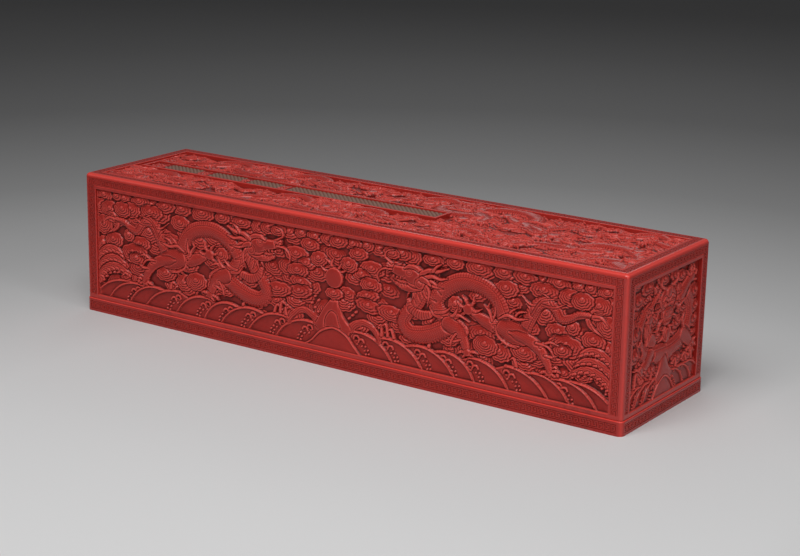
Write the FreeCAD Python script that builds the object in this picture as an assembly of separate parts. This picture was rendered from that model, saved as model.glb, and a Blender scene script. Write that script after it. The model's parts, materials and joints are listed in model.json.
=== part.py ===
import FreeCAD, Part
import math
import os

# Scroll box of carved red lacquer over a wooden core.
# A deep cover lifts straight up off a low base. The base carries a shallow tray with two rests,
# in which a rolled handscroll lies.
# Units are millimetres. X runs along the box, the front faces -Y and Z is up.
# The origin is the centre of the underside.

Vector = FreeCAD.Vector

# Two places this close count as one
touch = 1e-6

# Overall sizes
box_length = 520.0
box_depth = 130.0
box_height = 121.0
seam_height = 11.6

# Layers of the wall, from the outside in
lacquer_thickness = 5.0
core_thickness = 6.0
lining_thickness = 0.8

# Carved faces of the cover
edge_radius = 3.4
plain_edge = 3.8
fret_width = 6.2
fret_depth = 0.7
side_thread = 1.6
head_thread = 2.8
thread_round = 0.5
foot_lip = 3.4
foot_lip_radius = 0.7
carving_depth = 3.6

# Main forms of the carving, which stand on the floors of the sunk fields
body_relief = 1.9
cloud_relief = 1.0
crest_relief = 2.2
crest_width = 1.0
pearl_relief = 2.4
rock_relief = 2.0
ridge_relief = 1.5
relief_root = 0.5
relief_margin = 1.0

# Title slip let into the top, in the left half of the box
slip_length = 305.0
slip_width = 23.0
slip_left_margin = 5.0
slip_frame = 2.4
slip_sink = 2.0
slip_ground_thickness = 1.2

# Lacquered strips that close the lower edge of the cover
rim_thickness = 1.0

# Plinth of the base
plinth_stand_out = 0.8
plinth_corner_radius = 4.6
plinth_lip_radius = 1.4
plinth_fret_low = 2.2
plinth_fret_high = 8.8
deck_thickness = 1.0
underside_thickness = 1.0
rail_width = 22.0
tongue_length = 4.0
tongue_thickness = 3.2
tongue_gap = 0.3

# Tray that stands inside the cover
cover_clearance = 0.6
tray_wall_thickness = 4.0
tray_wall_height = 28.4
tray_wall_round = 1.0
tray_floor_thickness = 1.5
tray_floor_gap = 0.2

# Rests for the scroll
rest_spacing = 300.0
rest_thickness = 16.0
rest_height = 23.0
rest_side_gap = 0.3
seat_radius = 42.0
seat_floor = 6.0
silk_thickness = 2.0
silk_gap = 0.1

# Bamboo pins
pin_radius = 1.1
pin_gap = 0.03
pin_grip = 11.0
wall_pins_per_corner = 3
top_pins_per_long_side = 5
top_pins_per_end = 2
frame_pin_radius = 1.6
tray_pin_radius = 0.8
tray_pin_grip = 8.0
tray_pins_per_corner = 2

# Places that follow from the sizes
half_length = box_length / 2
half_depth = box_depth / 2
core_top = box_height - lacquer_thickness
core_half_length = half_length - lacquer_thickness
core_half_depth = half_depth - lacquer_thickness
hollow_half_length = core_half_length - core_thickness - lining_thickness
hollow_half_depth = core_half_depth - core_thickness - lining_thickness
wall_core_top = core_top - core_thickness
hollow_top = wall_core_top - lining_thickness
side_border = plain_edge + fret_width + side_thread
head_border = plain_edge + fret_width + head_thread
rim_top = seam_height + rim_thickness
deck_bottom = seam_height - deck_thickness
tray_half_length = hollow_half_length - cover_clearance
tray_half_depth = hollow_half_depth - cover_clearance
tray_inner_half_length = tray_half_length - tray_wall_thickness
tray_inner_half_depth = tray_half_depth - tray_wall_thickness
tray_top = seam_height + tray_wall_height
tray_floor_top = seam_height + tray_floor_thickness
seat_centre = tray_floor_top + seat_floor + silk_thickness + seat_radius

# Each wall is drawn as the front one and turned about Z to its own side.
# A row holds the wall's name, its turn, its full run and how far its face lies from the centre.
walls = [
    ("front", 0.0, box_length, half_depth),
    ("right", 90.0, box_depth, half_length),
    ("back", 180.0, box_length, half_depth),
    ("left", 270.0, box_depth, half_length),
]

# The drawings of the carving give places at the sizes above. They stretch with the fields that they fill.
# Each is given with its left, right, low and high limits.
side_limits = (-248.4, 248.4, 15.0, 108.2)
end_limits = (-53.4, 53.4, 15.0, 108.2)
top_limits = (-248.4, 248.4, -53.4, 53.4)

# A dragon in profile that faces left. A band holds the start, middle and end of its arc, and its width.
dragon_trunk = [
    ((112, 57), (99, 76), (109, 86), 8.0),
    ((109, 86), (127.5, 92), (149, 85), 9.0),
    ((149, 85), (157, 72), (161, 58), 8.5),
    ((86, 76), (76, 62), (68, 50), 7.0),
    ((68, 50), (78, 42), (95, 46), 9.0),
    ((95, 46), (110, 53.5), (122, 53), 9.5),
    ((168, 54), (177, 67), (186, 84), 7.0),
    ((186, 84), (197.5, 86.5), (206, 78), 5.0),
]
dragon_limbs = [
    ((206, 78), (217, 81.5), (229, 85), 3.0),
    ((168, 60), (189, 52), (197, 38), 4.0),
    ((110, 56), (121, 49), (126, 38), 4.5),
    ((150, 62), (142, 64.3), (133, 68), 5.0),
    ((77, 88), (67, 89.7), (57, 93), 4.0),
    ((83, 81), (72, 77.6), (62, 80), 2.4),
]
# An oval holds its middle, its width, its height and its turn.
dragon_masses = [((166, 60), 24, 15, -12), ((79, 86), 15, 10, 0)]
dragon_feet = [((127, 71), 6, 6, 0), ((198, 36), 4, 4, 0), ((127, 37), 4, 4, 0)]
dragon_middle = (150, 64)

# The right half of a long side, whose left half is its mirror image about the pearl
pearl_centre = (2.5, 73.5)
pearl_width = 14.0
mirror_shift = 3.0
side_waves = [
    ((215, 32), (231, 31), (250, 20)),
    ((200, 31), (219, 30.5), (238, 15)),
    ((178, 31), (198, 30.5), (215, 15)),
    ((160, 33), (179, 30), (197, 15)),
    ((128, 33), (147, 30.5), (163, 15)),
    ((97, 31), (117, 31.5), (133, 15)),
    ((72, 31), (95, 31.5), (115, 15)),
    ((45, 32), (68, 31), (86, 15)),
    ((14, 31), (37, 32), (58, 15)),
]
swells = [
    ((222, 52), (235, 58.3), (250, 45)),
    ((219, 44), (232, 50.3), (250, 36.5)),
    ((216, 37), (229, 43.3), (250, 28.5)),
]
swell_width = 4.0
side_clouds = [
    (135, 102.5, 18, 8),
    (175, 103, 16, 7),
    (203, 103, 15, 7),
    (45, 103, 14, 6),
    (191, 96, 18, 9),
    (159, 92, 15, 9),
    (213, 95, 14, 9),
    (237, 92, 14, 10),
    (193, 79, 15, 12),
    (233, 66, 14, 10),
    (204, 67, 17, 9),
    (211, 57, 22, 10),
    (175, 46, 17, 8),
    (142, 45, 16, 10),
    (57, 54, 20, 8),
    (35, 56, 18, 7),
    (37, 73, 15, 8),
    (38, 86, 17, 9),
    (110, 45, 14, 9),
    (16, 86, 12, 9),
]
side_mound = [(-21, 15), (-9, 27), (0, 31), (5, 31), (15, 26.5), (25, 15)]
side_rock = [(-13, 30), (-3, 50), (2, 56), (6, 52), (13, 38), (17, 29)]
side_ridges = [((15, 31), (31, 41.5), (45, 31), 3.4), ((-11, 31), (-27, 41.5), (-41, 31), 3.4)]
side_sea = 11.0

# An end, where a dragon seen from the front coils round its pearl
end_trunk = [
    ((4, 78), (17, 87.6), (41, 74), 9.0),
    ((41, 74), (31.7, 54.1), (10, 47), 8.5),
    ((10, 47), (-16, 48.6), (-37, 57), 8.5),
    ((-37, 57), (-40.6, 72.3), (-25, 88), 6.5),
    ((26, 88), (33, 92.6), (39, 97), 4.0),
    ((-22, 63), (-27.5, 70), (-27, 79), 4.0),
    ((31, 54), (38, 49.3), (44, 43), 4.0),
    ((-25, 50), (-31, 44.4), (-38, 42), 4.0),
]
end_masses = [((2, 85), 17, 14, 0), ((2, 76), 11, 7, 0)]
end_pearl = ((2, 60), 8, 8, 0)
end_waves = [
    ((31, 28), (45, 29.5), (58, 15)),
    ((18, 28), (32, 29.5), (45, 15)),
    ((5, 28), (19, 29.5), (32, 15)),
]
end_mound = [(-13, 15), (-7, 23), (-2, 27.5), (2, 27.5), (7, 23), (13, 15)]
end_rock = [(-10, 26), (-4, 42), (0, 45), (4, 41), (10, 26)]
end_sea = 8.0

# The dragons of the top, each with the place of its middle, its way, its size and its turn, and the pearls
top_dragons = [
    (-195, -33, 1, 0.64, 4),
    (-80, -34, -1, 0.64, -3),
    (20, -33, 1, 0.62, 2),
    (-195, 33, -1, 0.64, -5),
    (-84, 34, 1, 0.64, 3),
    (22, 33, -1, 0.62, -3),
    (120, 22, 1, 0.92, -12),
    (196, -20, -1, 0.92, 8),
    (112, -36, 1, 0.5, 0),
    (212, 38, -1, 0.5, 0),
]
whole_dragon_size = 0.9
top_pearls = [(-138, -30), (-138, 32), (-30, -32), (-30, 33), (160, 2), (78, 3), (234, 0)]
top_pearl_width = 7.6
top_clouds = [
    (150, 42, 16, 8),
    (168, 36, 14, 8),
    (108, 33, 17, 9),
    (98, 14, 15, 8),
    (116, 6, 15, 7),
    (142, -14, 16, 7),
    (120, -16, 14, 7),
    (98, -12, 15, 8),
    (140, -34, 14, 8),
    (206, -12, 18, 8),
    (192, 12, 16, 8),
    (216, 16, 16, 7),
    (196, -42, 16, 8),
    (168, -44, 14, 7),
    (62, -22, 14, 8),
    (58, -42, 15, 8),
    (222, 40, 11, 8),
    (-182, 38, 16, 8),
    (-100, 38, 15, 8),
    (-50, 24, 14, 8),
    (-14, 26, 12, 8),
    (-232, 24, 14, 8),
    (-208, -28, 16, 8),
    (-160, -38, 16, 8),
    (-122, -38, 14, 8),
    (-70, -27, 16, 7),
    (8, -28, 14, 7),
    (-64, 42, 10, 7),
]


def block(x_low, x_high, y_low, y_high, z_low, z_high):
    """A box between two corners."""
    return Part.makeBox(x_high - x_low, y_high - y_low, z_high - z_low, Vector(x_low, y_low, z_low))


def centred_block(half_x, half_y, z_low, z_high):
    """A box centred on the Z axis."""
    return block(-half_x, half_x, -half_y, half_y, z_low, z_high)


def turned(shape, angle):
    """The shape turned about the Z axis."""
    copy = shape.copy()
    copy.rotate(Vector(0, 0, 0), Vector(0, 0, 1), angle)
    return copy


def prism_between(first, second):
    """A solid with straight sides between two outlines that have as many corners."""
    outlines = [Part.makePolygon(points + points[:1]) for points in (first, second)]
    return Part.makeLoft(outlines, True, True)


def rounded(shape, radius, wanted):
    """The shape with a round on each edge that the test picks out."""
    edges = [edge for edge in shape.Edges if wanted(edge)]
    return shape.makeFillet(radius, edges)


def is_upright(edge):
    """True for a straight edge that runs along Z."""
    start, end = edge.Vertexes[0].Point, edge.Vertexes[-1].Point
    return abs(start.x - end.x) < touch and abs(start.y - end.y) < touch


def lies_at(edge, height):
    """True for an edge whose ends both lie at a height."""
    return all(abs(vertex.Z - height) < touch for vertex in edge.Vertexes)


def rod(centre, direction, radius, length):
    """A round rod that starts at a point."""
    return Part.makeCylinder(radius, length, centre, direction)


def cut_rods(shape, rods):
    """The shape with a hole for each pin, a little wider than the pin."""
    for centre, direction, radius, length in rods:
        shape = shape.cut(rod(centre, direction, radius + pin_gap, length))
    return shape


def pin_group(rods):
    """All the pins of a group, each a solid of its own."""
    return Part.makeCompound([rod(*pin) for pin in rods])


def spread(count, low, high):
    """Evenly spaced places between two limits, the limits left out."""
    step = (high - low) / count
    return [low + step * (index + 0.5) for index in range(count)]


def cover_wall_pin_places():
    """Pins driven through the long walls into the ends of the short ones."""
    pins = []
    for height in spread(wall_pins_per_corner, rim_top, wall_core_top):
        for side_x in (-1, 1):
            x = side_x * (core_half_length - core_thickness / 2)
            for side_y in (-1, 1):
                start = Vector(x, side_y * core_half_depth, height)
                pins.append((start, Vector(0, -side_y, 0), pin_radius, core_thickness + pin_grip))
    return pins


def cover_top_pin_places():
    """Pins driven down through the top board into the walls."""
    pins = []
    inset = core_thickness / 2
    places = []
    for x in spread(top_pins_per_long_side, -core_half_length, core_half_length):
        places += [(x, side * (core_half_depth - inset)) for side in (-1, 1)]
    for y in spread(top_pins_per_end, inset - core_half_depth, core_half_depth - inset):
        places += [(side * (core_half_length - inset), y) for side in (-1, 1)]
    for x, y in places:
        pins.append((Vector(x, y, core_top), Vector(0, 0, -1), pin_radius, core_thickness + pin_grip))
    return pins


def frame_pin_places():
    """One upright pin through each mitre of the base frame."""
    x = core_half_length - rail_width / 2
    y = core_half_depth - rail_width / 2
    rise = deck_bottom - underside_thickness
    corners = [(-x, -y), (x, -y), (x, y), (-x, y)]
    return [(Vector(a, b, underside_thickness), Vector(0, 0, 1), frame_pin_radius, rise) for a, b in corners]


def tray_pin_places():
    """Pins driven through the long tray walls into the short ones."""
    pins = []
    for height in spread(tray_pins_per_corner, seam_height, tray_top):
        for side_x in (-1, 1):
            x = side_x * (tray_half_length - tray_wall_thickness / 2)
            for side_y in (-1, 1):
                start = Vector(x, side_y * tray_half_depth, height)
                length = tray_wall_thickness + tray_pin_grip
                pins.append((start, Vector(0, -side_y, 0), tray_pin_radius, length))
    return pins


def cover_blank():
    """The whole outer form of the cover, solid, with its rounded edges."""
    shape = centred_block(half_length, half_depth, seam_height, box_height)
    shape = rounded(shape, edge_radius, lambda edge: is_upright(edge) or lies_at(edge, box_height))
    return rounded(shape, foot_lip_radius, lambda edge: lies_at(edge, seam_height))


def mitred_wall(run, reach):
    """The room of one lacquer wall, mitred to its neighbours and to the top."""
    outer, inner = run / 2, run / 2 - lacquer_thickness
    face, back = -reach, -reach + lacquer_thickness
    outline = [
        Vector(-outer, face, seam_height),
        Vector(outer, face, seam_height),
        Vector(outer, face, box_height),
        Vector(-outer, face, box_height),
    ]
    hidden = [
        Vector(-inner, back, seam_height),
        Vector(inner, back, seam_height),
        Vector(inner, back, core_top),
        Vector(-inner, back, core_top),
    ]
    return prism_between(outline, hidden)


def raised(edges, height):
    """A low solid over a closed outline, rooted a little below the floor that it stands on."""
    face = Part.Face(Part.Wire(edges))
    face.translate(Vector(0, 0, -relief_root))
    return face.extrude(Vector(0, 0, height + relief_root))


def band(points, width, height):
    """A low solid of even width along an arc through three places."""
    curve = Part.Arc(*[Vector(x, y, 0) for x, y in points]).toShape().Curve
    centre, radius = curve.Center, curve.Radius
    sides = []
    for side in (-1, 1):
        share = 1 + side * width / 2 / radius
        sides.append([centre + (Vector(x, y, 0) - centre) * share for x, y in points])
    inner, outer = sides
    edges = [
        Part.Arc(*inner).toShape(),
        Part.makeLine(inner[2], outer[2]),
        Part.Arc(*outer[::-1]).toShape(),
        Part.makeLine(outer[0], inner[0]),
    ]
    return raised(edges, height)


def oval(middle, wide, tall, turn, height):
    """A low solid with an oval outline."""
    centre = Vector(*middle, 0)
    if wide > tall:
        curve = Part.Ellipse(centre, wide / 2, tall / 2)
    else:
        curve = Part.Circle(centre, Vector(0, 0, 1), wide / 2)
    solid = raised([curve.toShape()], height)
    solid.rotate(centre, Vector(0, 0, 1), turn)
    return solid


def plate(points, height):
    """A low solid with straight sides."""
    corners = [Vector(x, y, 0) for x, y in points]
    return raised(Part.makePolygon(corners + corners[:1]).Edges, height)


def setting(limits, field, place=(0, 0), flip=1, size=1.0, turn=0.0, about=(0, 0)):
    """How a drawing is laid down: its point about goes to place, and the whole is fitted to the field."""
    angle = math.radians(turn)
    cosine, sine = size * math.cos(angle), size * math.sin(angle)

    def lay(point):
        x, y = point[0] - about[0], point[1] - about[1]
        u, v = place[0] + flip * (x * cosine - y * sine), place[1] + x * sine + y * cosine
        u = field[0] + (u - limits[0]) * (field[1] - field[0]) / (limits[1] - limits[0])
        v = field[2] + (v - limits[2]) * (field[3] - field[2]) / (limits[3] - limits[2])
        return u, v

    return lay, size, flip * turn


def laid_bands(bands, how, height):
    """Bands of a drawing, laid down."""
    lay, size, _ = how
    return [band([lay(point) for point in row[:3]], row[3] * size, height) for row in bands]


def laid_ovals(ovals, how, height):
    """Ovals of a drawing, laid down."""
    lay, size, turn = how
    way = 1 if lay((1, 0))[0] > lay((0, 0))[0] else -1
    solids = []
    for middle, wide, tall, own in ovals:
        solids.append(oval(lay(middle), wide * size, tall * size, way * own + turn, height))
    return solids


def laid_clouds(clouds, how):
    """Clouds of a drawing, laid down level."""
    return laid_ovals([((x, y), wide, tall, 0) for x, y, wide, tall in clouds], how, cloud_relief)


def dragon(how, whole=True):
    """The main forms of a dragon in profile."""
    forms = laid_bands(dragon_trunk, how, body_relief) + laid_ovals(dragon_masses, how, body_relief)
    if whole:
        forms += laid_bands(dragon_limbs, how, body_relief) + laid_ovals(dragon_feet, how, body_relief)
    return forms


def side_forms(field):
    """The main forms of a long side: two dragons face a pearl over a rock in the sea."""
    middle = setting(side_limits, field)
    mirrored = setting(side_limits, field, (mirror_shift, 0), -1)
    forms = [block(field[0], field[1], field[2], field[2] + side_sea, -relief_root, cloud_relief)]
    for how in (middle, mirrored):
        forms += dragon(how)
        forms += laid_bands([(*points, crest_width) for points in side_waves], how, crest_relief)
        forms += laid_bands([(*points, swell_width) for points in swells], how, ridge_relief)
        forms += laid_clouds(side_clouds, how)
    lay = middle[0]
    forms += laid_bands(side_ridges, middle, ridge_relief)
    forms += [plate([lay(point) for point in side_rock], rock_relief)]
    forms += [plate([lay(point) for point in side_mound], rock_relief)]
    return forms + laid_ovals([(pearl_centre, pearl_width, pearl_width, 0)], middle, pearl_relief)


def end_forms(field):
    """The main forms of an end: a coiled dragon and its pearl over the sea."""
    middle = setting(end_limits, field)
    mirrored = setting(end_limits, field, (0, 0), -1)
    forms = [block(field[0], field[1], field[2], field[2] + end_sea, -relief_root, cloud_relief)]
    for how in (middle, mirrored):
        forms += laid_bands([(*points, crest_width) for points in end_waves], how, crest_relief)
    forms += laid_bands(end_trunk, middle, body_relief) + laid_ovals(end_masses, middle, body_relief)
    lay = middle[0]
    forms += [plate([lay(point) for point in end_rock], rock_relief)]
    forms += [plate([lay(point) for point in end_mound], rock_relief)]
    return forms + laid_ovals([end_pearl], middle, pearl_relief)


def top_forms(field):
    """The main forms of the top: dragons, clouds and pearls round the title slip."""
    forms = []
    for x, y, flip, size, turn in top_dragons:
        how = setting(top_limits, field, (x, y), flip, size, turn, dragon_middle)
        forms += dragon(how, size > whole_dragon_size)
    middle = setting(top_limits, field)
    forms += laid_clouds(top_clouds, middle)
    pearls = [(place, top_pearl_width, top_pearl_width, 0) for place in top_pearls]
    return forms + laid_ovals(pearls, middle, pearl_relief)


def joined(forms, room):
    """The forms of a field as one relief, kept inside the room that is left for it."""
    return forms[0].multiFuse(forms[1:]).common(room).removeSplitter()


def wall_relief(run, reach):
    """The main carved forms of one wall, standing out of the floor of its sunk field."""
    low, high = seam_height + foot_lip, box_height - head_border
    half = run / 2 - side_border
    draw = side_forms if run > box_depth else end_forms
    inner = half - relief_margin
    room = block(-inner, inner, low, high - relief_margin, -relief_root, carving_depth)
    relief = joined(draw((-half, half, low, high)), room)
    relief.rotate(Vector(0, 0, 0), Vector(1, 0, 0), 90)
    relief.translate(Vector(0, carving_depth - reach, 0))
    return relief


def wall_lacquer(blank, relief, turn, run, reach):
    """One wall of carved lacquer: plain edge, sunk fret strip, raised thread, and relief in a sunk field."""
    panel = turned(blank, -turn).common(mitred_wall(run, reach))
    field_low = seam_height + foot_lip
    field_high = box_height - head_border
    field_half = run / 2 - side_border
    fret_high = box_height - plain_edge
    fret_outer = run / 2 - plain_edge
    fret_inner = fret_outer - fret_width
    strip = block(-fret_outer, fret_outer, -reach, fret_depth - reach, field_low, fret_high)
    keep = block(-fret_inner, fret_inner, -reach, fret_depth - reach, field_low, fret_high - fret_width)
    field = block(-field_half, field_half, -reach, carving_depth - reach, field_low, field_high)
    panel = panel.cut(strip.cut(keep)).cut(field)

    def is_thread_edge(edge):
        ends = [vertex.Point for vertex in edge.Vertexes]
        on_face = all(abs(end.y + reach) < touch for end in ends)
        return on_face and all(abs(end.x) < fret_outer - touch and end.z < fret_high - touch for end in ends)

    panel = rounded(panel, thread_round, is_thread_edge)
    return turned(panel.fuse(relief).removeSplitter(), turn)


def slip_range():
    """The left and right ends of the title slip."""
    left = side_border - half_length + slip_left_margin
    return left, left + slip_length


def top_lacquer(blank):
    """The carved top, with the raised frame of the title slip standing in its field."""
    outline = [Vector(x, y, box_height) for x, y in rectangle(half_length, half_depth)]
    hidden = [Vector(x, y, core_top) for x, y in rectangle(core_half_length, core_half_depth)]
    panel = blank.common(prism_between(outline, hidden))
    fret_floor = box_height - fret_depth
    strip = centred_block(half_length - plain_edge, half_depth - plain_edge, fret_floor, box_height)
    inner = plain_edge + fret_width
    strip = strip.cut(centred_block(half_length - inner, half_depth - inner, fret_floor, box_height))
    field_floor = box_height - carving_depth
    field = centred_block(half_length - side_border, half_depth - side_border, field_floor, box_height)
    left, right = slip_range()
    island = block(left, right, -slip_width / 2, slip_width / 2, field_floor, box_height)
    pocket = slip_pocket(box_height - slip_sink - slip_ground_thickness, box_height)
    panel = panel.cut(strip).cut(field.cut(island)).cut(pocket)

    def is_thread_edge(edge):
        ends = [vertex.Point for vertex in edge.Vertexes]
        inside_x = all(abs(end.x) < half_length - plain_edge - touch for end in ends)
        inside_y = all(abs(end.y) < half_depth - plain_edge - touch for end in ends)
        return lies_at(edge, box_height) and inside_x and inside_y

    panel = rounded(panel, thread_round, is_thread_edge)
    half_x, half_y = half_length - side_border, half_depth - side_border
    room = centred_block(half_x - relief_margin, half_y - relief_margin, -relief_root, carving_depth)
    left, right = left - relief_margin, right + relief_margin
    half_slip = slip_width / 2 + relief_margin
    kept_clear = block(left, right, -half_slip, half_slip, -relief_root, carving_depth)
    relief = joined(top_forms((-half_x, half_x, -half_y, half_y)), room.cut(kept_clear))
    relief.translate(Vector(0, 0, field_floor))
    return panel.fuse(relief).removeSplitter()


def slip_pocket(z_low, z_high):
    """The room inside the frame of the title slip."""
    left, right = slip_range()
    half_width = slip_width / 2 - slip_frame
    return block(left + slip_frame, right - slip_frame, -half_width, half_width, z_low, z_high)


def rectangle(half_x, half_y):
    """The corners of a rectangle centred on the Z axis."""
    return [(-half_x, -half_y), (half_x, -half_y), (half_x, half_y), (-half_x, half_y)]


def butted_wall(turn, half_x, half_y, thickness, z_low, z_high):
    """One board of a box whose long walls run past its short ones."""
    if turn in (0.0, 180.0):
        board = block(-half_x, half_x, -half_y, thickness - half_y, z_low, z_high)
    else:
        reach = half_y - thickness
        board = block(-reach, reach, -half_x, thickness - half_x, z_low, z_high)
    return turned(board, turn)


def plinth_blank():
    """The whole outer form of the plinth, with rounded corners and a rounded upper lip."""
    x, y = half_length + plinth_stand_out, half_depth + plinth_stand_out
    shape = rounded(centred_block(x, y, 0, seam_height), plinth_corner_radius, is_upright)
    return rounded(shape, plinth_lip_radius, lambda edge: lies_at(edge, seam_height))


def plinth_lacquer(blank, turn, run, reach):
    """One side of the plinth, mitred at both ends, with a sunk fret strip."""
    face = reach + plinth_stand_out
    back = reach - lacquer_thickness
    outer = run / 2 + plinth_stand_out
    inner = run / 2 - lacquer_thickness
    corners = [(-outer, -face), (outer, -face), (inner, -back), (-inner, -back)]
    low = [Vector(x, y, 0) for x, y in corners]
    high = [Vector(x, y, seam_height) for x, y in corners]
    side = turned(blank, -turn).common(prism_between(low, high))
    half_strip = run / 2 - plain_edge
    strip = block(-half_strip, half_strip, -face, fret_depth - face, plinth_fret_low, plinth_fret_high)
    return turned(side.cut(strip), turn)


def tongue_range():
    """The lower and upper face of the tongue in the groove of the base frame."""
    middle = (underside_thickness + deck_bottom) / 2
    return middle - tongue_thickness / 2, middle + tongue_thickness / 2


def base_rail(turn, run, reach):
    """One rail of the mitred base frame, grooved for the panel."""
    outer = run / 2 - lacquer_thickness
    face = reach - lacquer_thickness
    inner, back = outer - rail_width, face - rail_width
    corners = [(-outer, -face), (outer, -face), (inner, -back), (-inner, -back)]
    low = [Vector(x, y, underside_thickness) for x, y in corners]
    high = [Vector(x, y, deck_bottom) for x, y in corners]
    rail = prism_between(low, high)
    deep = inner + tongue_length
    groove = block(-deep, deep, -back - tongue_length, -back, *tongue_range())
    return turned(rail.cut(groove), turn)


def base_panel():
    """The panel that floats in the base frame, with a tongue on all four sides."""
    x, y = core_half_length - rail_width, core_half_depth - rail_width
    body = centred_block(x, y, underside_thickness, deck_bottom)
    reach = tongue_length - tongue_gap
    return body.fuse(centred_block(x + reach, y + reach, *tongue_range())).removeSplitter()


def tray_wall(turn):
    """One wall of the tray, its upper edges eased."""
    board = butted_wall(turn, tray_half_length, tray_half_depth, tray_wall_thickness, seam_height, tray_top)
    along_x = turn in (0.0, 180.0)

    def is_long_top_edge(edge):
        start, end = edge.Vertexes[0].Point, edge.Vertexes[-1].Point
        runs_along = abs(start.y - end.y) < touch if along_x else abs(start.x - end.x) < touch
        return lies_at(edge, tray_top) and runs_along

    return rounded(board, tray_wall_round, is_long_top_edge)


def seat_rod(place, radius, thickness):
    """The round room above the seat of a rest, along X."""
    start = Vector(place - thickness / 2, 0, seat_centre)
    return rod(start, Vector(1, 0, 0), radius, thickness)


def scroll_rest(place):
    """A block across the tray with a round seat for the scroll."""
    half = tray_inner_half_depth - rest_side_gap
    low, high = tray_floor_top, tray_floor_top + rest_height
    half_thickness = rest_thickness / 2
    body = block(place - half_thickness, place + half_thickness, -half, half, low, high)
    return body.cut(seat_rod(place, seat_radius + silk_thickness, rest_thickness))


def rest_silk(place):
    """The silk that faces the seat of a rest."""
    outer = seat_rod(place, seat_radius + silk_thickness - silk_gap, rest_thickness)
    ring = outer.cut(seat_rod(place, seat_radius, rest_thickness))
    half = tray_inner_half_depth - rest_side_gap
    half_thickness = rest_thickness / 2
    high = tray_floor_top + rest_height
    room = block(place - half_thickness, place + half_thickness, -half, half, tray_floor_top, high)
    return ring.common(room)


def build_cover():
    """The pieces of the cover, by node name."""
    blank = cover_blank()
    wall_pins = cover_wall_pin_places()
    top_pins = cover_top_pin_places()
    pieces = {}
    rim_width = core_thickness + lining_thickness
    reliefs = {run: wall_relief(run, reach) for _, _, run, reach in walls[:2]}
    for name, turn, run, reach in walls:
        pieces[f"cover_{name}_lacquer"] = wall_lacquer(blank, reliefs[run], turn, run, reach)
        core = butted_wall(turn, core_half_length, core_half_depth, core_thickness, rim_top, wall_core_top)
        pieces[f"cover_{name}_core"] = cut_rods(core, wall_pins + top_pins)
        pieces[f"cover_{name}_lining"] = butted_wall(
            turn,
            core_half_length - core_thickness,
            core_half_depth - core_thickness,
            lining_thickness,
            rim_top,
            hollow_top,
        )
        pieces[f"cover_{name}_rim"] = butted_wall(
            turn, core_half_length, core_half_depth, rim_width, seam_height, rim_top
        )
    pieces["cover_top_lacquer"] = top_lacquer(blank)
    top_core = centred_block(core_half_length, core_half_depth, wall_core_top, core_top)
    pieces["cover_top_core"] = cut_rods(top_core, top_pins)
    pieces["cover_top_lining"] = centred_block(
        core_half_length - core_thickness, core_half_depth - core_thickness, hollow_top, wall_core_top
    )
    ground_top = box_height - slip_sink
    pieces["title_slip_ground"] = slip_pocket(ground_top - slip_ground_thickness, ground_top)
    pieces["cover_wall_pins"] = pin_group(wall_pins)
    pieces["cover_top_pins"] = pin_group(top_pins)
    return pieces


def build_base():
    """The pieces of the base, by node name."""
    blank = plinth_blank()
    frame_pins = frame_pin_places()
    tray_pins = tray_pin_places()
    pieces = {}
    for name, turn, run, reach in walls:
        pieces[f"plinth_{name}_lacquer"] = plinth_lacquer(blank, turn, run, reach)
        pieces[f"base_{name}_rail"] = cut_rods(base_rail(turn, run, reach), frame_pins)
        pieces[f"tray_{name}_wall"] = cut_rods(tray_wall(turn), tray_pins)
    pieces["base_panel"] = base_panel()
    pieces["base_deck"] = centred_block(core_half_length, core_half_depth, deck_bottom, seam_height)
    pieces["base_underside"] = centred_block(core_half_length, core_half_depth, 0, underside_thickness)
    floor_x = tray_inner_half_length - tray_floor_gap
    floor_y = tray_inner_half_depth - tray_floor_gap
    pieces["tray_floor"] = centred_block(floor_x, floor_y, seam_height, tray_floor_top)
    for name, side in (("left", -1), ("right", 1)):
        pieces[f"{name}_scroll_rest"] = scroll_rest(side * rest_spacing / 2)
        pieces[f"{name}_rest_silk"] = rest_silk(side * rest_spacing / 2)
    pieces["frame_corner_pins"] = pin_group(frame_pins)
    pieces["tray_corner_pins"] = pin_group(tray_pins)
    return pieces


def main():
    """Writes one STEP file for each node."""
    os.makedirs("parts", exist_ok=True)
    for name, shape in {**build_cover(), **build_base()}.items():
        valid = shape.isValid() and shape.Volume > 0
        print(name, "solids", len(shape.Solids), "volume", round(shape.Volume, 1), "valid", valid)
        shape.exportStep(os.path.join("parts", name + ".step"))


main()
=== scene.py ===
# %% [markdown]
# A carved red lacquer box for a handscroll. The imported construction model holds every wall, pin and rest at
# its real size, so this file only dresses it: carved panels are laid into the sunk fields, a fret into the
# sunk borders, a small pattern into the title slip, and silk over the seats inside. Nothing is moved.

# %% Load the frame
import bmesh
import bpy
import json
import math
import numpy as np
from mathutils import Matrix, Vector
from mathutils.bvhtree import BVHTree
from types import SimpleNamespace


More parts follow.
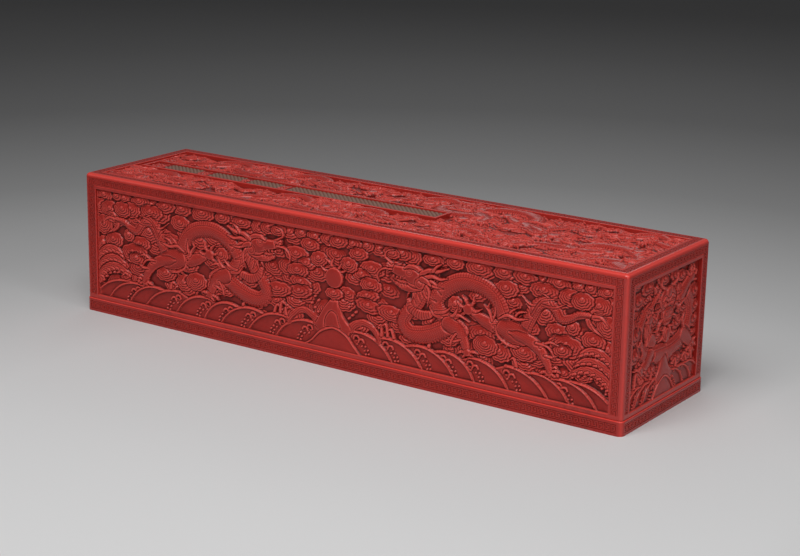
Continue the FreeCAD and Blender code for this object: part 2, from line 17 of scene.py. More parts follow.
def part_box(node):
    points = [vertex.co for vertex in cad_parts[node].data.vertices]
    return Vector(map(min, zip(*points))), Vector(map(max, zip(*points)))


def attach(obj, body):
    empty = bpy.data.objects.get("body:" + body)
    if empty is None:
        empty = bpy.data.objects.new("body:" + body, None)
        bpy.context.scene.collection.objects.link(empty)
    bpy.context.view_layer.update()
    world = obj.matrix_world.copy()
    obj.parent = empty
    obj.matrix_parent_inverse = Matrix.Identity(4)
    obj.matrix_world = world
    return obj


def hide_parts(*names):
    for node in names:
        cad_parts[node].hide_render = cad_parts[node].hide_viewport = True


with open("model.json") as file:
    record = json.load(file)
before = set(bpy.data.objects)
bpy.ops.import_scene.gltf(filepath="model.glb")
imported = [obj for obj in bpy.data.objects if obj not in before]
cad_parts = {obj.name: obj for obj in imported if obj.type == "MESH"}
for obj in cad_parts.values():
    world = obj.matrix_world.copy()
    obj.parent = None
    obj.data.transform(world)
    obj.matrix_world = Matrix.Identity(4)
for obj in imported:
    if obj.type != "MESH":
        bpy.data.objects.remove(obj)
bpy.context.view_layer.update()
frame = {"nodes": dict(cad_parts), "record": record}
MM = 0.001
WALL_X, WALL_Y, WALL_Z = 260.0, 65.0, 121.0  # the cover's half length, half depth and height, in mm
FIELD_DEPTH = 3.6  # how far the floor of a carved field lies below its border, in mm
print("pieces of the construction model:", len(frame["nodes"]))

# %% [markdown]
# The camera looks from the front and the right, a little from above. Its place, turn and lens come from the
# edges of the box: three sets of parallel edges fix the view, and the known length sets the distance.

# %% Camera
scene = bpy.context.scene
CAMERA_PLACE = (0.8493, -1.2120, 0.4776)
CAMERA_TURN = (74.208, -1.003, 34.621)
CAMERA_LENS = 85.43

bpy.ops.object.camera_add(location=CAMERA_PLACE, rotation=[math.radians(a) for a in CAMERA_TURN])
scene.camera = bpy.context.object
scene.camera.data.lens = CAMERA_LENS
scene.camera.data.clip_start = 0.05
scene.view_settings.view_transform = "Standard"
print("camera lens in mm:", CAMERA_LENS)

# %% [markdown]
# Lacquer is judged by its highlights, so the studio has large soft lights: one overhead that draws a bright
# line along the rounded top edge, one behind that skims the top, one on each side that rakes over the
# carving, and a weak fill in front. The box stands on a wide sheet of paper with a painted pool of light,
# pale round the box and darker far off.

# %% Studio
SWEEP_SIZE = 14.0
# The paper's painted pool of light: how far it reaches and where its middle is.
LIGHT_POOL_REACH = 2.5
LIGHT_POOL_MIDDLE = (0.12, -0.18, 0)


def soft_light(name, place, aim, size, power):
    """A rectangular light that looks at a point."""
    bpy.ops.object.light_add(type="AREA", location=place)
    lamp = bpy.context.object
    lamp.name = name
    lamp.rotation_euler = (Vector(aim) - Vector(place)).to_track_quat("-Z", "Y").to_euler()
    lamp.data.shape = "RECTANGLE"
    lamp.data.size, lamp.data.size_y = size
    lamp.data.energy = power


soft_light("overhead", (0.25, -0.85, 1.3), (0, 0, 0.06), (1.1, 0.85), 15)
soft_light("behind", (-0.7, 1.4, 0.95), (0, 0, 0.1), (0.8, 0.3), 1.4)
soft_light("raking_left", (-1.5, -1.1, 1.2), (0, 0, 0.05), (0.5, 0.5), 0.6)
soft_light("fill_front", (1.7, -1.6, 0.6), (0.1, 0, 0.05), (0.8, 0.8), 2.2)
soft_light("raking_right", (1.5, -0.35, 1.1), (0.2, 0, 0.06), (0.5, 0.5), 4.0)

world = bpy.data.worlds.new("studio_air")
scene.world = world
world.use_nodes = True
air = world.node_tree.nodes["Background"].inputs
air["Color"].default_value = (0.55, 0.55, 0.56, 1)
air["Strength"].default_value = 0.28
print("lights:", len(bpy.data.lights))

# %% [markdown]
# Each finish is a node tree. A small writer keeps them readable: it adds a node, sets its sockets by name,
# and links a socket when it is given one.

# %% Node writer


def add_node(tree, kind, settings=None, **sockets):
    """Adds a shader node. A socket is named, with _ for a space, or numbered, as in0."""
    node = tree.nodes.new("ShaderNode" + kind)
    for key, value in (settings or {}).items():
        setattr(node, key, value)
    for key, value in sockets.items():
        numbered = key.startswith("in") and key[2:].isdigit()
        socket = node.inputs[int(key[2:]) if numbered else key.replace("_", " ")]
        if isinstance(value, bpy.types.NodeSocket):
            tree.links.new(value, socket)
        else:
            socket.default_value = value
    return node


def ramp(tree, factor, stops):
    """A colour ramp with the given (place, value) stops, where a value is a number or a colour."""
    node = add_node(tree, "ValToRGB", in0=factor)
    elements = node.color_ramp.elements
    while len(elements) < len(stops):
        elements.new(1)
    for element, (place, value) in zip(elements, stops):
        element.position = place
        element.color = value if isinstance(value, tuple) else (value, value, value, 1)
    return node.outputs["Color"]


def blend_colours(tree, share, first, second, kind="MIX"):
    """Mixes two colours, or multiplies them."""
    settings = {"data_type": "RGBA", "blend_type": kind}
    return add_node(tree, "Mix", settings, in0=share, in6=first, in7=second).outputs[2]


def sums(tree, kind, first, second=0.0, third=0.0):
    """One step of arithmetic."""
    return add_node(tree, "Math", {"operation": kind}, in0=first, in1=second, in2=third).outputs[0]


def new_group(name, inputs, outputs):
    """A node group with named sockets. Returns the tree, its inputs and its output node."""
    tree = bpy.data.node_groups.new(name, "ShaderNodeTree")
    for label, kind, value in inputs:
        socket = tree.interface.new_socket(label, in_out="INPUT", socket_type="NodeSocket" + kind)
        socket.default_value = value
    for label, kind in outputs:
        tree.interface.new_socket(label, in_out="OUTPUT", socket_type="NodeSocket" + kind)
    return tree, tree.nodes.new("NodeGroupInput").outputs, tree.nodes.new("NodeGroupOutput")


def use_group(tree, group, **sockets):
    """Places a group in a tree. Returns its outputs."""
    return add_node(tree, "Group", {"node_tree": group}, **sockets).outputs


def finish_material(name, **shader):
    """A material with a Principled shader. Returns it, its tree, the shader and the piece's coordinates."""
    material = bpy.data.materials.new(name)
    material.use_nodes = True
    tree = material.node_tree
    surface = tree.nodes["Principled BSDF"]
    for key, value in shader.items():
        surface.inputs[key.replace("_", " ")].default_value = value
    return material, tree, surface, add_node(tree, "TexCoord").outputs["Object"]


# %% [markdown]
# Carved lacquer is built up from many thin brushed coats, so its red drifts a little from place to place.
# Three effects go into every lacquer finish: a drift of tone, a fine skin of brush and tool marks, and
# painted light by depth, which paints shade into the hollows and paints the crests and rounded edges
# lighter, on the carving partly as wear and elsewhere as a painted highlight.

# %% Shared effects


def make_tone_drift():
    """Slow patches and fine specks of a lighter and a darker tone."""
    tree, given, out = new_group(
        "tone_drift",
        [("Place", "Vector", (0, 0, 0)), ("Colour", "Color", (0.5, 0.5, 0.5, 1)), ("Strength", "Float", 0.5)],
        [("Colour", "Color"), ("Patches", "Float")],
    )
    slow = add_node(tree, "TexNoise", Vector=given["Place"], Scale=16.0, Detail=3.0).outputs[0]
    fine = add_node(tree, "TexNoise", Vector=given["Place"], Scale=240.0, Detail=4.0).outputs[0]
    both = sums(tree, "MULTIPLY_ADD", slow, 0.65, sums(tree, "MULTIPLY", fine, 0.35))
    tone = ramp(tree, both, [(0.32, 0.62), (0.5, 1.0), (0.68, 1.0)])
    darker = blend_colours(tree, given["Strength"], given["Colour"],
                           blend_colours(tree, 1.0, given["Colour"], tone, "MULTIPLY"))
    light = ramp(tree, both, [(0.52, 0.0), (0.72, 0.35)])
    warm = blend_colours(tree, 1.0, given["Colour"], (1.5, 1.7, 1.5, 1), "MULTIPLY")
    lifted = blend_colours(tree, sums(tree, "MULTIPLY", light, given["Strength"]), darker, warm)
    tree.links.new(lifted, out.inputs["Colour"])
    tree.links.new(both, out.inputs["Patches"])
    return tree


def make_tool_skin():
    """The height of brushed coats and faint knife marks, in the range 0 to 1."""
    tree, given, out = new_group("tool_skin", [("Place", "Vector", (0, 0, 0))], [("Height", "Float")])
    swell = add_node(tree, "TexNoise", Vector=given["Place"], Scale=420.0, Detail=3.0).outputs[0]
    long = add_node(tree, "Mapping", Vector=given["Place"], Scale=(250.0, 1400.0, 1400.0)).outputs[0]
    hairs = add_node(tree, "TexNoise", Vector=long, Scale=1.0, Detail=2.0).outputs[0]
    height = sums(tree, "MULTIPLY_ADD", hairs, 0.35, sums(tree, "MULTIPLY", swell, 0.65))
    tree.links.new(height, out.inputs["Height"])
    return tree


def make_wear_and_painted_light():
    """Darkens where Hollow is high, which on the carving is painted shade, and lightens where Crest is high,
    which is painted highlight and on the carving partly wear. Hollow and Crest are masks from 0 to 1.
    """
    tree, given, out = new_group(
        "wear_and_painted_light",
        [("Colour", "Color", (0.5, 0.5, 0.5, 1)), ("Dark", "Color", (0.1, 0.1, 0.1, 1)),
         ("Worn", "Color", (0.8, 0.8, 0.8, 1)), ("Hollow", "Float", 0.0), ("Crest", "Float", 0.0)],
        [("Colour", "Color"), ("Dullness", "Float")],
    )
    sunk = blend_colours(tree, given["Hollow"], given["Colour"], given["Dark"])
    tree.links.new(blend_colours(tree, given["Crest"], sunk, given["Worn"]), out.inputs["Colour"])
    tree.links.new(given["Hollow"], out.inputs["Dullness"])
    return tree


tone_drift, tool_skin, wear_and_painted_light = make_tone_drift(), make_tool_skin(), make_wear_and_painted_light()
print("shared effects:", tone_drift.name, tool_skin.name, wear_and_painted_light.name)

# %% [markdown]
# The red is cinnabar in lacquer: strong, painted a little to the orange on the crests and rounded edges as
# highlight, partly wear on the carving, and painted almost brown in the carved depths as shade. On the plain
# bands the sheen is even and satin. On the carving the masks come from the carved height itself, which each
# sheet carries as attributes, so the painted shade follows every cut.

# %% Lacquer finishes
# Painted light in these colours: the deep red is painted shade in the carved hollows and random dark patches on
# the plain bands, the worn red is painted highlight and partly wear on the carved crests, the edge red is a
# painted highlight on rounded edges, and the foot red is the plain red painted darker as shade.
RED = (0.36, 0.0225, 0.017, 1)
RED_BORDER = (0.43, 0.026, 0.019, 1)
RED_SHADE_AND_PATCH = (0.085, 0.0028, 0.0016, 1)
RED_WORN_HIGHLIGHT = (0.72, 0.085, 0.068, 1)
RED_EDGE_HIGHLIGHT = (0.82, 0.062, 0.046, 1)
RED_FOOT_SHADED = (0.36, 0.017, 0.012, 1)
# The slip's dark and worn colours are painted shade and painted highlight, as on the red, and the black's worn
# colour is a painted highlight on its rounded edges.
SLIP_BROWN = (0.25, 0.125, 0.09, 1)
SLIP_SHADE = (0.13, 0.052, 0.036, 1)
SLIP_WORN_HIGHLIGHT = (0.32, 0.18, 0.135, 1)
BLACK = (0.018, 0.013, 0.012, 1)
BLACK_DEEP = (0.006, 0.005, 0.005, 1)
BLACK_EDGE_HIGHLIGHT = (0.05, 0.035, 0.03, 1)
BRUSH_DEPTH = 0.05
# The band round the top rim that gets the painted highlight.
RIM_WIDTH = 3.6
RIM_LOW, RIM_RISE = 117.5, 3.0


def rim_highlight_mask(tree, place):
    """A painted highlight on the plain band round the top, outside the fret."""
    away = add_node(tree, "VectorMath", {"operation": "ABSOLUTE"}, in0=place).outputs[0]
    x, y, z = add_node(tree, "SeparateXYZ", in0=away).outputs
    past_x = sums(tree, "SUBTRACT", x, (WALL_X - RIM_WIDTH) * MM)
    past_y = sums(tree, "SUBTRACT", y, (WALL_Y - RIM_WIDTH) * MM)
    share = sums(tree, "DIVIDE", sums(tree, "MAXIMUM", past_x, past_y), RIM_WIDTH * MM)
    rise = sums(tree, "DIVIDE", sums(tree, "SUBTRACT", z, RIM_LOW * MM), RIM_RISE * MM)
    band = ramp(tree, share, [(0.0, 0.0), (0.2, 0.75)])
    return sums(tree, "MULTIPLY", band, ramp(tree, rise, [(0.0, 0.0), (0.9, 1.0)]))


def edge_highlight_mask(tree, place):
    """A painted highlight: 1 on a rounded edge, where the surface faces between two of the box's directions, half
    as much where that edge does not face up, 0 on the flats, and the rim band on top.
    """
    normal = add_node(tree, "NewGeometry").outputs["Normal"]
    facing = add_node(tree, "VectorMath", {"operation": "ABSOLUTE"}, in0=normal).outputs[0]
    x, y, z = add_node(tree, "SeparateXYZ", in0=facing).outputs
    most = sums(tree, "MAXIMUM", sums(tree, "MAXIMUM", x, y), z)
    rise = add_node(tree, "SeparateXYZ", in0=normal).outputs["Z"]
    round_edge = ramp(tree, most, [(0.75, 1.0), (0.985, 0.0)])
    edge = sums(tree, "MULTIPLY", round_edge, ramp(tree, rise, [(0.1, 0.5), (0.4, 1.0)]))
    return sums(tree, "MAXIMUM", edge, rim_highlight_mask(tree, place))


def lacquer(name, colour, deep, worn, carved, roughness=(0.17, 0.34), specular=0.22):
    """A satin lacquer. Carved ones take their painted shade and lighter crests from the sheet's attributes; plain
    ones take random dark patches and a painted highlight on their rounded edges.
    """
    material, tree, surface, place = finish_material(name, Specular_IOR_Level=specular)
    drift = use_group(tree, tone_drift, Place=place, Colour=colour, Strength=0.55)
    marks = use_group(tree, tool_skin, Place=place)
    if carved:
        hollow = add_node(tree, "Attribute", {"attribute_name": "hollow"}).outputs["Fac"]
        crest = add_node(tree, "Attribute", {"attribute_name": "crest"}).outputs["Fac"]
    else:
        hollow = ramp(tree, drift["Patches"], [(0.30, 0.35), (0.42, 0.0)])
        crest = edge_highlight_mask(tree, place)
    aged_and_lit = use_group(tree, wear_and_painted_light, Colour=drift["Colour"], Dark=deep, Worn=worn, Hollow=hollow, Crest=crest)
    tree.links.new(aged_and_lit["Colour"], surface.inputs["Base Color"])
    rough = sums(tree, "MULTIPLY_ADD", marks["Height"], 0.16, roughness[0] - 0.08)
    rough = sums(tree, "MULTIPLY_ADD", aged_and_lit["Dullness"], roughness[1] - roughness[0], rough)
    tree.links.new(rough, surface.inputs["Roughness"])
    bumped = add_node(tree, "Bump", Strength=0.5, Distance=BRUSH_DEPTH * MM, Height=marks["Height"])
    tree.links.new(bumped.outputs["Normal"], surface.inputs["Normal"])
    return material


red_carved = lacquer("red_lacquer_carved", RED, RED_SHADE_AND_PATCH, RED_WORN_HIGHLIGHT, True)
red_plain = lacquer("red_lacquer_plain", RED_BORDER, RED_SHADE_AND_PATCH, RED_EDGE_HIGHLIGHT, False, (0.2, 0.34), specular=0.5)
red_foot_shaded = lacquer("red_lacquer_foot_shaded", RED_FOOT_SHADED, RED_SHADE_AND_PATCH, RED_EDGE_HIGHLIGHT, False, (0.2, 0.34), specular=0.45)
slip_lacquer = lacquer("slip_lacquer", SLIP_BROWN, SLIP_SHADE, SLIP_WORN_HIGHLIGHT, True, (0.5, 0.75))
black_lacquer = lacquer("black_lacquer", BLACK, BLACK_DEEP, BLACK_EDGE_HIGHLIGHT, False, (0.2, 0.4))
print("lacquer finishes:", red_carved.name, red_plain.name, slip_lacquer.name, black_lacquer.name)

# %% [markdown]
# Wood shows only inside joints and at the pins. A stretched noise gives the grain its long fibres, and a
# wave bent by a second noise gives the growth rings. Bamboo is the same with straight, closer fibres.

# %% Wood finishes


def wood(name, light, dark, along, rings, roughness):
    """Grain that runs along X, Y or Z."""
    material, tree, surface, place = finish_material(name, Roughness=roughness, Specular_IOR_Level=0.35)
    stretch = [900.0, 900.0, 900.0]
    stretch["XYZ".index(along)] = 25.0
    fibres = add_node(tree, "Mapping", Vector=place, Scale=stretch).outputs[0]
    fine = add_node(tree, "TexNoise", Vector=fibres, Scale=1.0, Detail=4.0).outputs[0]
    wave = add_node(tree, "TexWave", Vector=place, Scale=rings, Distortion=6.0, Detail=2.0).outputs[1]
    share = sums(tree, "MULTIPLY_ADD", wave, 0.4, sums(tree, "MULTIPLY", fine, 0.6))
    tree.links.new(ramp(tree, share, [(0.25, dark), (0.75, light)]), surface.inputs["Base Color"])
    bumped = add_node(tree, "Bump", Strength=0.3, Distance=0.05 * MM, Height=fine)
    tree.links.new(bumped.outputs["Normal"], surface.inputs["Normal"])
    return material


core_wood = wood("core_wood", (0.50, 0.33, 0.17, 1), (0.27, 0.15, 0.065, 1), "X", 60.0, 0.65)
bamboo = wood("bamboo", (0.62, 0.45, 0.2, 1), (0.42, 0.27, 0.1, 1), "Z", 20.0, 0.5)
print("wood finishes:", core_wood.name, bamboo.name)

# %% [markdown]
# The record of the construction model says which finish each piece has. The plinth is painted darker than the
# cover, as shade, since it stands low and gets less of the overhead light, so its red is one of its own.

# %% Dress the construction model
FINISHES = {
    "red_lacquer": red_plain,
    "slip_lacquer": slip_lacquer,
    "black_lacquer": black_lacquer,
    "core_wood": core_wood,
    "bamboo": bamboo,
}


def dress(piece, material):
    """Gives a piece one material."""
    piece.data.materials.clear()
    piece.data.materials.append(material)


for subpart in frame["record"]["subparts"]:
    node, finish = subpart["node"], FINISHES.get(subpart["material_slot"])
    if finish:
        dress(frame["nodes"][node], red_foot_shaded if node.startswith("plinth") else finish)

# %% [markdown]
# The carving. On the real box a block of lacquer some millimetres thick is cut back with knives until
# dragons, clouds and waves stand in relief. No chain of extrusions gives such a surface, so it is carved
# here in the same order as by hand: a block is a grid of heights above the sunk floor, and every motif cuts
# its own outline, its own crown and a groove round itself into what lies below. The grid then becomes the
# vertices of a real mesh.

# %% Carver's block
FLOOR = 0.3
FLUSH = 3.55
SHEET_PITCH = 0.45


def new_block(u_low, u_high, v_low, v_high, pitch):
    """A block of lacquer: u runs across, v runs up, in mm, and h is the surface above the sunk floor."""
    columns, rows = round((u_high - u_low) / pitch) + 1, round((v_high - v_low) / pitch) + 1
    u, v = np.linspace(u_low, u_high, columns), np.linspace(v_low, v_high, rows)
    return SimpleNamespace(u=u, v=v, h=np.full((rows, columns), FLOOR))


def window(block, u_low, u_high, v_low, v_high):
    """The part of the block between four limits, with its places."""
    columns = slice(*np.searchsorted(block.u, (u_low, u_high)))
    rows = slice(*np.searchsorted(block.v, (v_low, v_high)))
    u, v = np.meshgrid(block.u[columns], block.v[rows])
    return (rows, columns), u, v


def turned(x, y, degrees):
    """Places in a frame that is turned about the origin."""
    c, s = math.cos(math.radians(degrees)), math.sin(math.radians(degrees))
    return x * c + y * s, y * c - x * s


def eased(x):
    """0 to 1 with a soft start and end."""
    x = np.clip(x, 0, 1)
    return x * x * (3 - 2 * x)


def lay(block, part, height, inside, wall=0.7, groove=0.9, dig=0.8):
    """Cuts a motif into the block: its height within the outline, and a groove round it."""
    h = block.h[part]
    beside = np.clip(1 + inside / groove, 0, 1) * (inside < 0)
    h = h - (h - FLOOR) * dig * beside
    block.h[part] = h + (height - h) * eased(inside / wall + 0.5)


# %% [markdown]
# Most motifs are strokes: a path with a width at every point, from which the knife leaves a ridge. The path
# is a smooth curve through a few points, and each cell of the block takes its height from the nearest place
# on it.

# %% Strokes


def smooth_path(points, widths, spacing=0.55):
    """Close points on a smooth curve through the given ones, with half width, direction and length so far."""
    p = np.asarray(points, float)
    w = np.asarray(widths, float) / 2
    if len(w) != len(p):
        w = np.interp(np.linspace(0, 1, len(p)), np.linspace(0, 1, len(w)), w)
    ends = np.vstack([2 * p[0] - p[1], p, 2 * p[-1] - p[-2]])
    out, half = [], []
    for i in range(len(p) - 1):
        a, b, c, d = ends[i : i + 4]
        steps = max(2, int(np.hypot(*(c - b)) / spacing))
        t = np.linspace(0, 1, steps, endpoint=i == len(p) - 2)[:, None]
        bend = 2 * b + (c - a) * t + (2 * a - 5 * b + 4 * c - d) * t**2 + (3 * b - a - 3 * c + d) * t**3
        out.append(bend / 2)
        half.append(w[i] + (w[i + 1] - w[i]) * eased(t[:, 0]))
    line = np.vstack(out)
    tangent = np.gradient(line, axis=0)
    tangent /= np.maximum(np.hypot(*tangent.T)[:, None], 1e-9)
    run = np.concatenate([[0], np.cumsum(np.hypot(*np.diff(line, axis=0).T))])
    return line, np.concatenate(half), tangent, run


def arc(start, middle, end, count=9):
    """Places along the arc of a circle through three points."""
    (ax, ay), (bx, by), (cx, cy) = start, middle, end
    d = 2 * (ax * (by - cy) + bx * (cy - ay) + cx * (ay - by))
    a, b, c = ax * ax + ay * ay, bx * bx + by * by, cx * cx + cy * cy
    ox = (a * (by - cy) + b * (cy - ay) + c * (ay - by)) / d
    oy = (a * (cx - bx) + b * (ax - cx) + c * (bx - ax)) / d
    angles = np.unwrap([math.atan2(y - oy, x - ox) for x, y in (start, middle, end)])
    t = np.linspace(angles[0], angles[2], count)
    radius = math.hypot(ax - ox, ay - oy)
    return np.column_stack([ox + radius * np.cos(t), oy + radius * np.sin(t)])


def stroke(block, points, widths, level=2.6, crown=0.7, skin=None, side=1, reach=0.0, **cut):
    """A ridge along a path. A skin adds scales or hair, and side says which flank is the back."""
    line, radii, tangent, run = smooth_path(points, widths)
    margin = radii.max() + reach + 2.2
    low, high = line.min(0) - margin, line.max(0) + margin
    part, u, v = window(block, low[0], high[0], low[1], high[1])
    if u.size == 0:
        return
    pitch = block.u[1] - block.u[0]
    near = np.full(u.shape, 1e9)
    along, across, half = np.zeros(u.shape), np.zeros(u.shape), np.ones(u.shape)
    for (cu, cv), radius, (tu, tv), length in zip(line, radii, tangent, run):
        m = radius + reach + 2.0
        i, j = int((cu - m - u[0, 0]) / pitch), int((cv - m - v[0, 0]) / pitch)
        n = int(2 * m / pitch) + 2
        s = (slice(max(j, 0), max(j + n, 0)), slice(max(i, 0), max(i + n, 0)))
        du, dv = u[s] - cu, v[s] - cv
        d = np.hypot(du, dv) - radius
        closer = d < near[s]
        near[s] = np.where(closer, d, near[s])
        along[s] = np.where(closer, length + du * tu + dv * tv, along[s])
        across[s] = np.where(closer, side * (dv * tu - du * tv), across[s])
        half[s] = np.where(closer, radius, half[s])
    share = np.clip(np.abs(across) / np.maximum(half, 0.2), 0, 1)
    height, inside = level + crown * (1 - 0.85 * share**2), -near
    if skin:
        more, wider = skin(along, across, half)
        height, inside = height + more, inside + wider
    lay(block, part, height, inside, **cut)


# %% [markdown]
# The rest are bosses, such as eyes, pearls and drops, and slabs, which are smooth forms with a drawn
# outline.

# %% Bosses and slabs


def blob(block, u, v, wide, tall, level=2.6, crown=0.8, turn=0.0, **cut):
    """A rounded boss with an oval outline."""
    a, b = wide / 2, tall / 2
    m = max(a, b) + 2
    part, x, y = window(block, u - m, u + m, v - m, v + m)
    x, y = turned(x - u, y - v, turn)
    q = np.hypot(x / a, y / b)
    lay(block, part, level + crown * np.sqrt(np.clip(1 - q**2, 0, 1)), (1 - q) * min(a, b), **cut)


def inside_outline(u, v, corners):
    """How far each place lies inside a closed outline, below nought outside it."""
    near, within = np.full(u.shape, 1e9), np.zeros(u.shape, bool)
    for (au, av), (bu, bv) in zip(corners, np.roll(corners, -1, axis=0)):
        du, dv = bu - au, bv - av
        t = np.clip(((u - au) * du + (v - av) * dv) / max(du * du + dv * dv, 1e-9), 0, 1)
        near = np.minimum(near, np.hypot(u - au - t * du, v - av - t * dv))
        if av != bv:
            within ^= ((av > v) != (bv > v)) & (u < au + (v - av) * du / dv)
    return np.where(within, near, -near)


def slab(block, points, level, crown=0.6, soft=4.0, smooth=True, **cut):
    """A smooth form with a drawn outline, domed towards its middle."""
    corners = np.asarray(points, float)
    if smooth:
        corners = smooth_path([*points, points[0]], [1], 1.2)[0][:-1]
    low, high = corners.min(0) - 2, corners.max(0) + 2
    part, u, v = window(block, low[0], high[0], low[1], high[1])
    if u.size:
        inside = inside_outline(u, v, corners)
        lay(block, part, level + crown * np.sqrt(np.clip(inside / soft, 0, 1)), inside, **cut)


# %% [markdown]
# Skins: what the knife does on top of a ridge. A dragon has lozenge scales, plates along its belly and a
# saw-toothed fin along its back; legs have finer scales; ridges of water and rock are combed.

# %% Skins


def cut_lines(x, pitch, width, depth):
    """A row of rounded grooves, one every pitch."""
    away = np.abs(x / pitch - np.round(x / pitch)) * pitch
    return -depth * eased(1 - away / width)


def lozenges(along, across, pitch, width, depth):
    """Grooves that cross and leave lozenges."""
    first, second = (cut_lines(x, pitch, width, depth) for x in (along + across, along - across))
    return np.minimum(first, second)


def scaled_skin(along, across, half):
    scales = lozenges(along, across, 2.0, 0.6, 0.22)
    plates = cut_lines(along, 2.0, 0.6, 0.28)
    more = np.where(across < -0.5 * half, plates, scales) - 0.4 * eased(1 - np.abs(across + 0.5 * half) / 0.5)
    fin = across > 0.72 * half
    more = np.where(fin, cut_lines(along, 2.6, 0.7, 0.4) - 0.15, more)
    tooth = 0.8 * (1 - np.abs((along / 2.6) % 1 * 2 - 1)) * np.minimum(half / 5, 1)
    return more, np.where(across > 0, tooth, 0)


def fine_skin(along, across, half):
    return lozenges(along, across, 1.7, 0.5, 0.18), 0.0


def belly_skin(along, across, half):
    return cut_lines(along + 0.15 * across**2 / half, 2.2, 0.6, 0.45), 0.0


def rough_skin(along, across, half):
    return cut_lines(across + 0.8 * np.sin(along / 3), 1.7, 0.5, 0.3), 0.0


# %% [markdown]
# A pen sets a drawing down: it can be moved, turned, scaled and mirrored, so one drawing of a dragon serves
# every panel. The drawings below are in millimetres, in the places that they have on the long sides.

# %% Pens


def pen(block, u=0.0, v=0.0, flip=1, size=1.0, turn=0.0, about=(0.0, 0.0)):
    """Lays the point about of a drawing on (u, v)."""
    p = SimpleNamespace(block=block, u=0.0, v=0.0, flip=flip, size=size, turn=math.radians(turn))
    (du, dv), = put(p, about)
    p.u, p.v = u - du, v - dv
    return p


def put(p, points):
    """The points of a drawing, set down by a pen."""
    x, y = np.asarray(points, float).reshape(-1, 2).T * p.size
    c, s = math.cos(p.turn), math.sin(p.turn)
    return np.column_stack([p.u + p.flip * (x * c - y * s), p.v + x * s + y * c])


def draw(p, points, widths, level=2.6, side=1, **how):
    stroke(p.block, put(p, points), np.asarray(widths, float) * p.size, level, side=side * p.flip, **how)


def boss(p, u, v, wide, tall, level=2.6, crown=0.8, turn=0.0, **cut):
    (x, y), = put(p, (u, v))
    turn = p.flip * (turn + math.degrees(p.turn))
    blob(p.block, x, y, wide * p.size, tall * p.size, level, crown, turn, **cut)


def form(p, points, level, **how):
    slab(p.block, put(p, points), level, **how)


def shifted(p, u, v):
    """The same pen, for a drawing whose own origin goes to the point (u, v)."""
    (x, y), = put(p, (u, v))
    return SimpleNamespace(**{**vars(p), "u": x, "v": y})


# %% [markdown]
# Cloud curls fill the sky, with a little smooth ground between them. Each is a stack of scalloped terraces,
# stepped like a fish scale, that climbs to a small eye near its top. Each row overlaps the one below.

# %% Clouds
TERRACE = 0.62
LOBES = 9
EYE_LIFT = 0.32


def cloud(block, u, v, wide, tall, level=1.0, rise=2.0, rings=4, turn=0.0, phase=0.0):
    a, b = wide / 2, tall / 2
    m = max(a, b) * 1.1 + 1.5
    part, x, y = window(block, u - m, u + m, v - m, v + m)
    if x.size == 0:
        return
    x, y = turned(x - u, y - v, turn)
    q = np.hypot(x / a, y / b)
    for _ in range(3):
        up = EYE_LIFT * b * np.clip(1 - q, 0, 1)
        q = np.hypot(x / a, (y - up) / b)
    angle = np.arctan2((y - up) / b, x / a)
    q = q / (1 + 0.1 * np.abs(np.sin(LOBES * angle / 2 + phase)) * eased(q * 2) - 0.03)
    steps = np.clip(1 - q, 0, 1) * (rings + 0.5)
    way = np.where(steps < rings, steps % 1, 0.4)
    terrace = eased(way / 0.25) - 1.25 * eased((way - 0.55) / 0.4)
    fan = np.clip(0.75 - 0.8 * np.sin(angle), 0.12, 1)
    height = level + rise * steps / (rings + 0.5) + TERRACE * terrace * fan
    height = height + 0.6 * np.sqrt(np.clip(1 - (np.hypot(x, y - EYE_LIFT * b) / 1.6) ** 2, 0, 1))
    lay(block, part, height, (1 - q) * min(a, b), groove=1.5, dig=0.95)


def sky(block, seed, low, high, step=(17.0, 9.4), size=(15, 25), share=0.5):
    """Strews cloud curls over the smooth ground, row over row."""
    chance = np.random.default_rng(seed)
    for row, v in enumerate(np.arange(low, high, step[1])):
        for u in np.arange(block.u[0] + (row % 2) * step[0] / 2, block.u[-1] + step[0], step[0]):
            a, b, c, d, e, g, left_out = chance.random(7)
            if left_out > share:
                continue
            wide = size[0] + (size[1] - size[0]) * a
            tall = wide * (0.5 + 0.2 * d)
            place = u + 9 * (b - 0.5), v + 6 * (c - 0.5)
            cloud(
                block, *place, wide, tall, 0.2 + 0.8 * e, 1.1 + 0.5 * g,
                rings=max(2, round(tall / 3.4)), turn=40 * (g - 0.5), phase=6 * b,
            )


# %% [markdown]
# The dragon is drawn from far to near: tail, arched back, hind leg, chest, foreleg and last the head. Claws
# have five toes, and locks of flame spring from every joint, as on the real panel.

# %% Claws and locks


def claw(p, u, v, toward, spread=150, reach=9.0, palm=4.6, level=2.7):
    """A foot: a padded palm with five hooked toes fanned round it."""
    for k in range(5):
        a = math.radians(toward + spread * (k / 4 - 0.5))
        bend = a + 0.55 * (1 if k < 2.5 else -1)
        mid = (u + 0.62 * reach * math.cos(a), v + 0.62 * reach * math.sin(a))
        tip = (mid[0] + 0.45 * reach * math.cos(bend), mid[1] + 0.45 * reach * math.sin(bend))
        draw(p, [(u, v), mid, tip], [2.6, 2.1, 0.7], level, crown=0.6, groove=0.7)
        boss(p, *mid, 2.4, 2.4, level + 0.2, 0.5, groove=0.4, dig=0.4)
    boss(p, u, v, palm, palm, level + 0.1, 0.7, groove=0.4, dig=0.3)


def locks(p, roots, tips, widths=(2.0, 0.6), level=2.4, bow=0.2):
    """Locks of hair or flame that spring from the roots in turn and bow towards their tips."""
    for k, tip in enumerate(tips):
        a, b = np.array(roots[k % len(roots)], float), np.array(tip, float)
        mid = (a + b) / 2 + bow * (1 if k % 2 else -0.6) * np.array([a[1] - b[1], b[0] - a[0]])
        draw(p, [a, mid, b], [widths[0], widths[0] * 0.9, widths[1]], level + 0.12 * (k % 3), crown=0.45,
             groove=0.6)


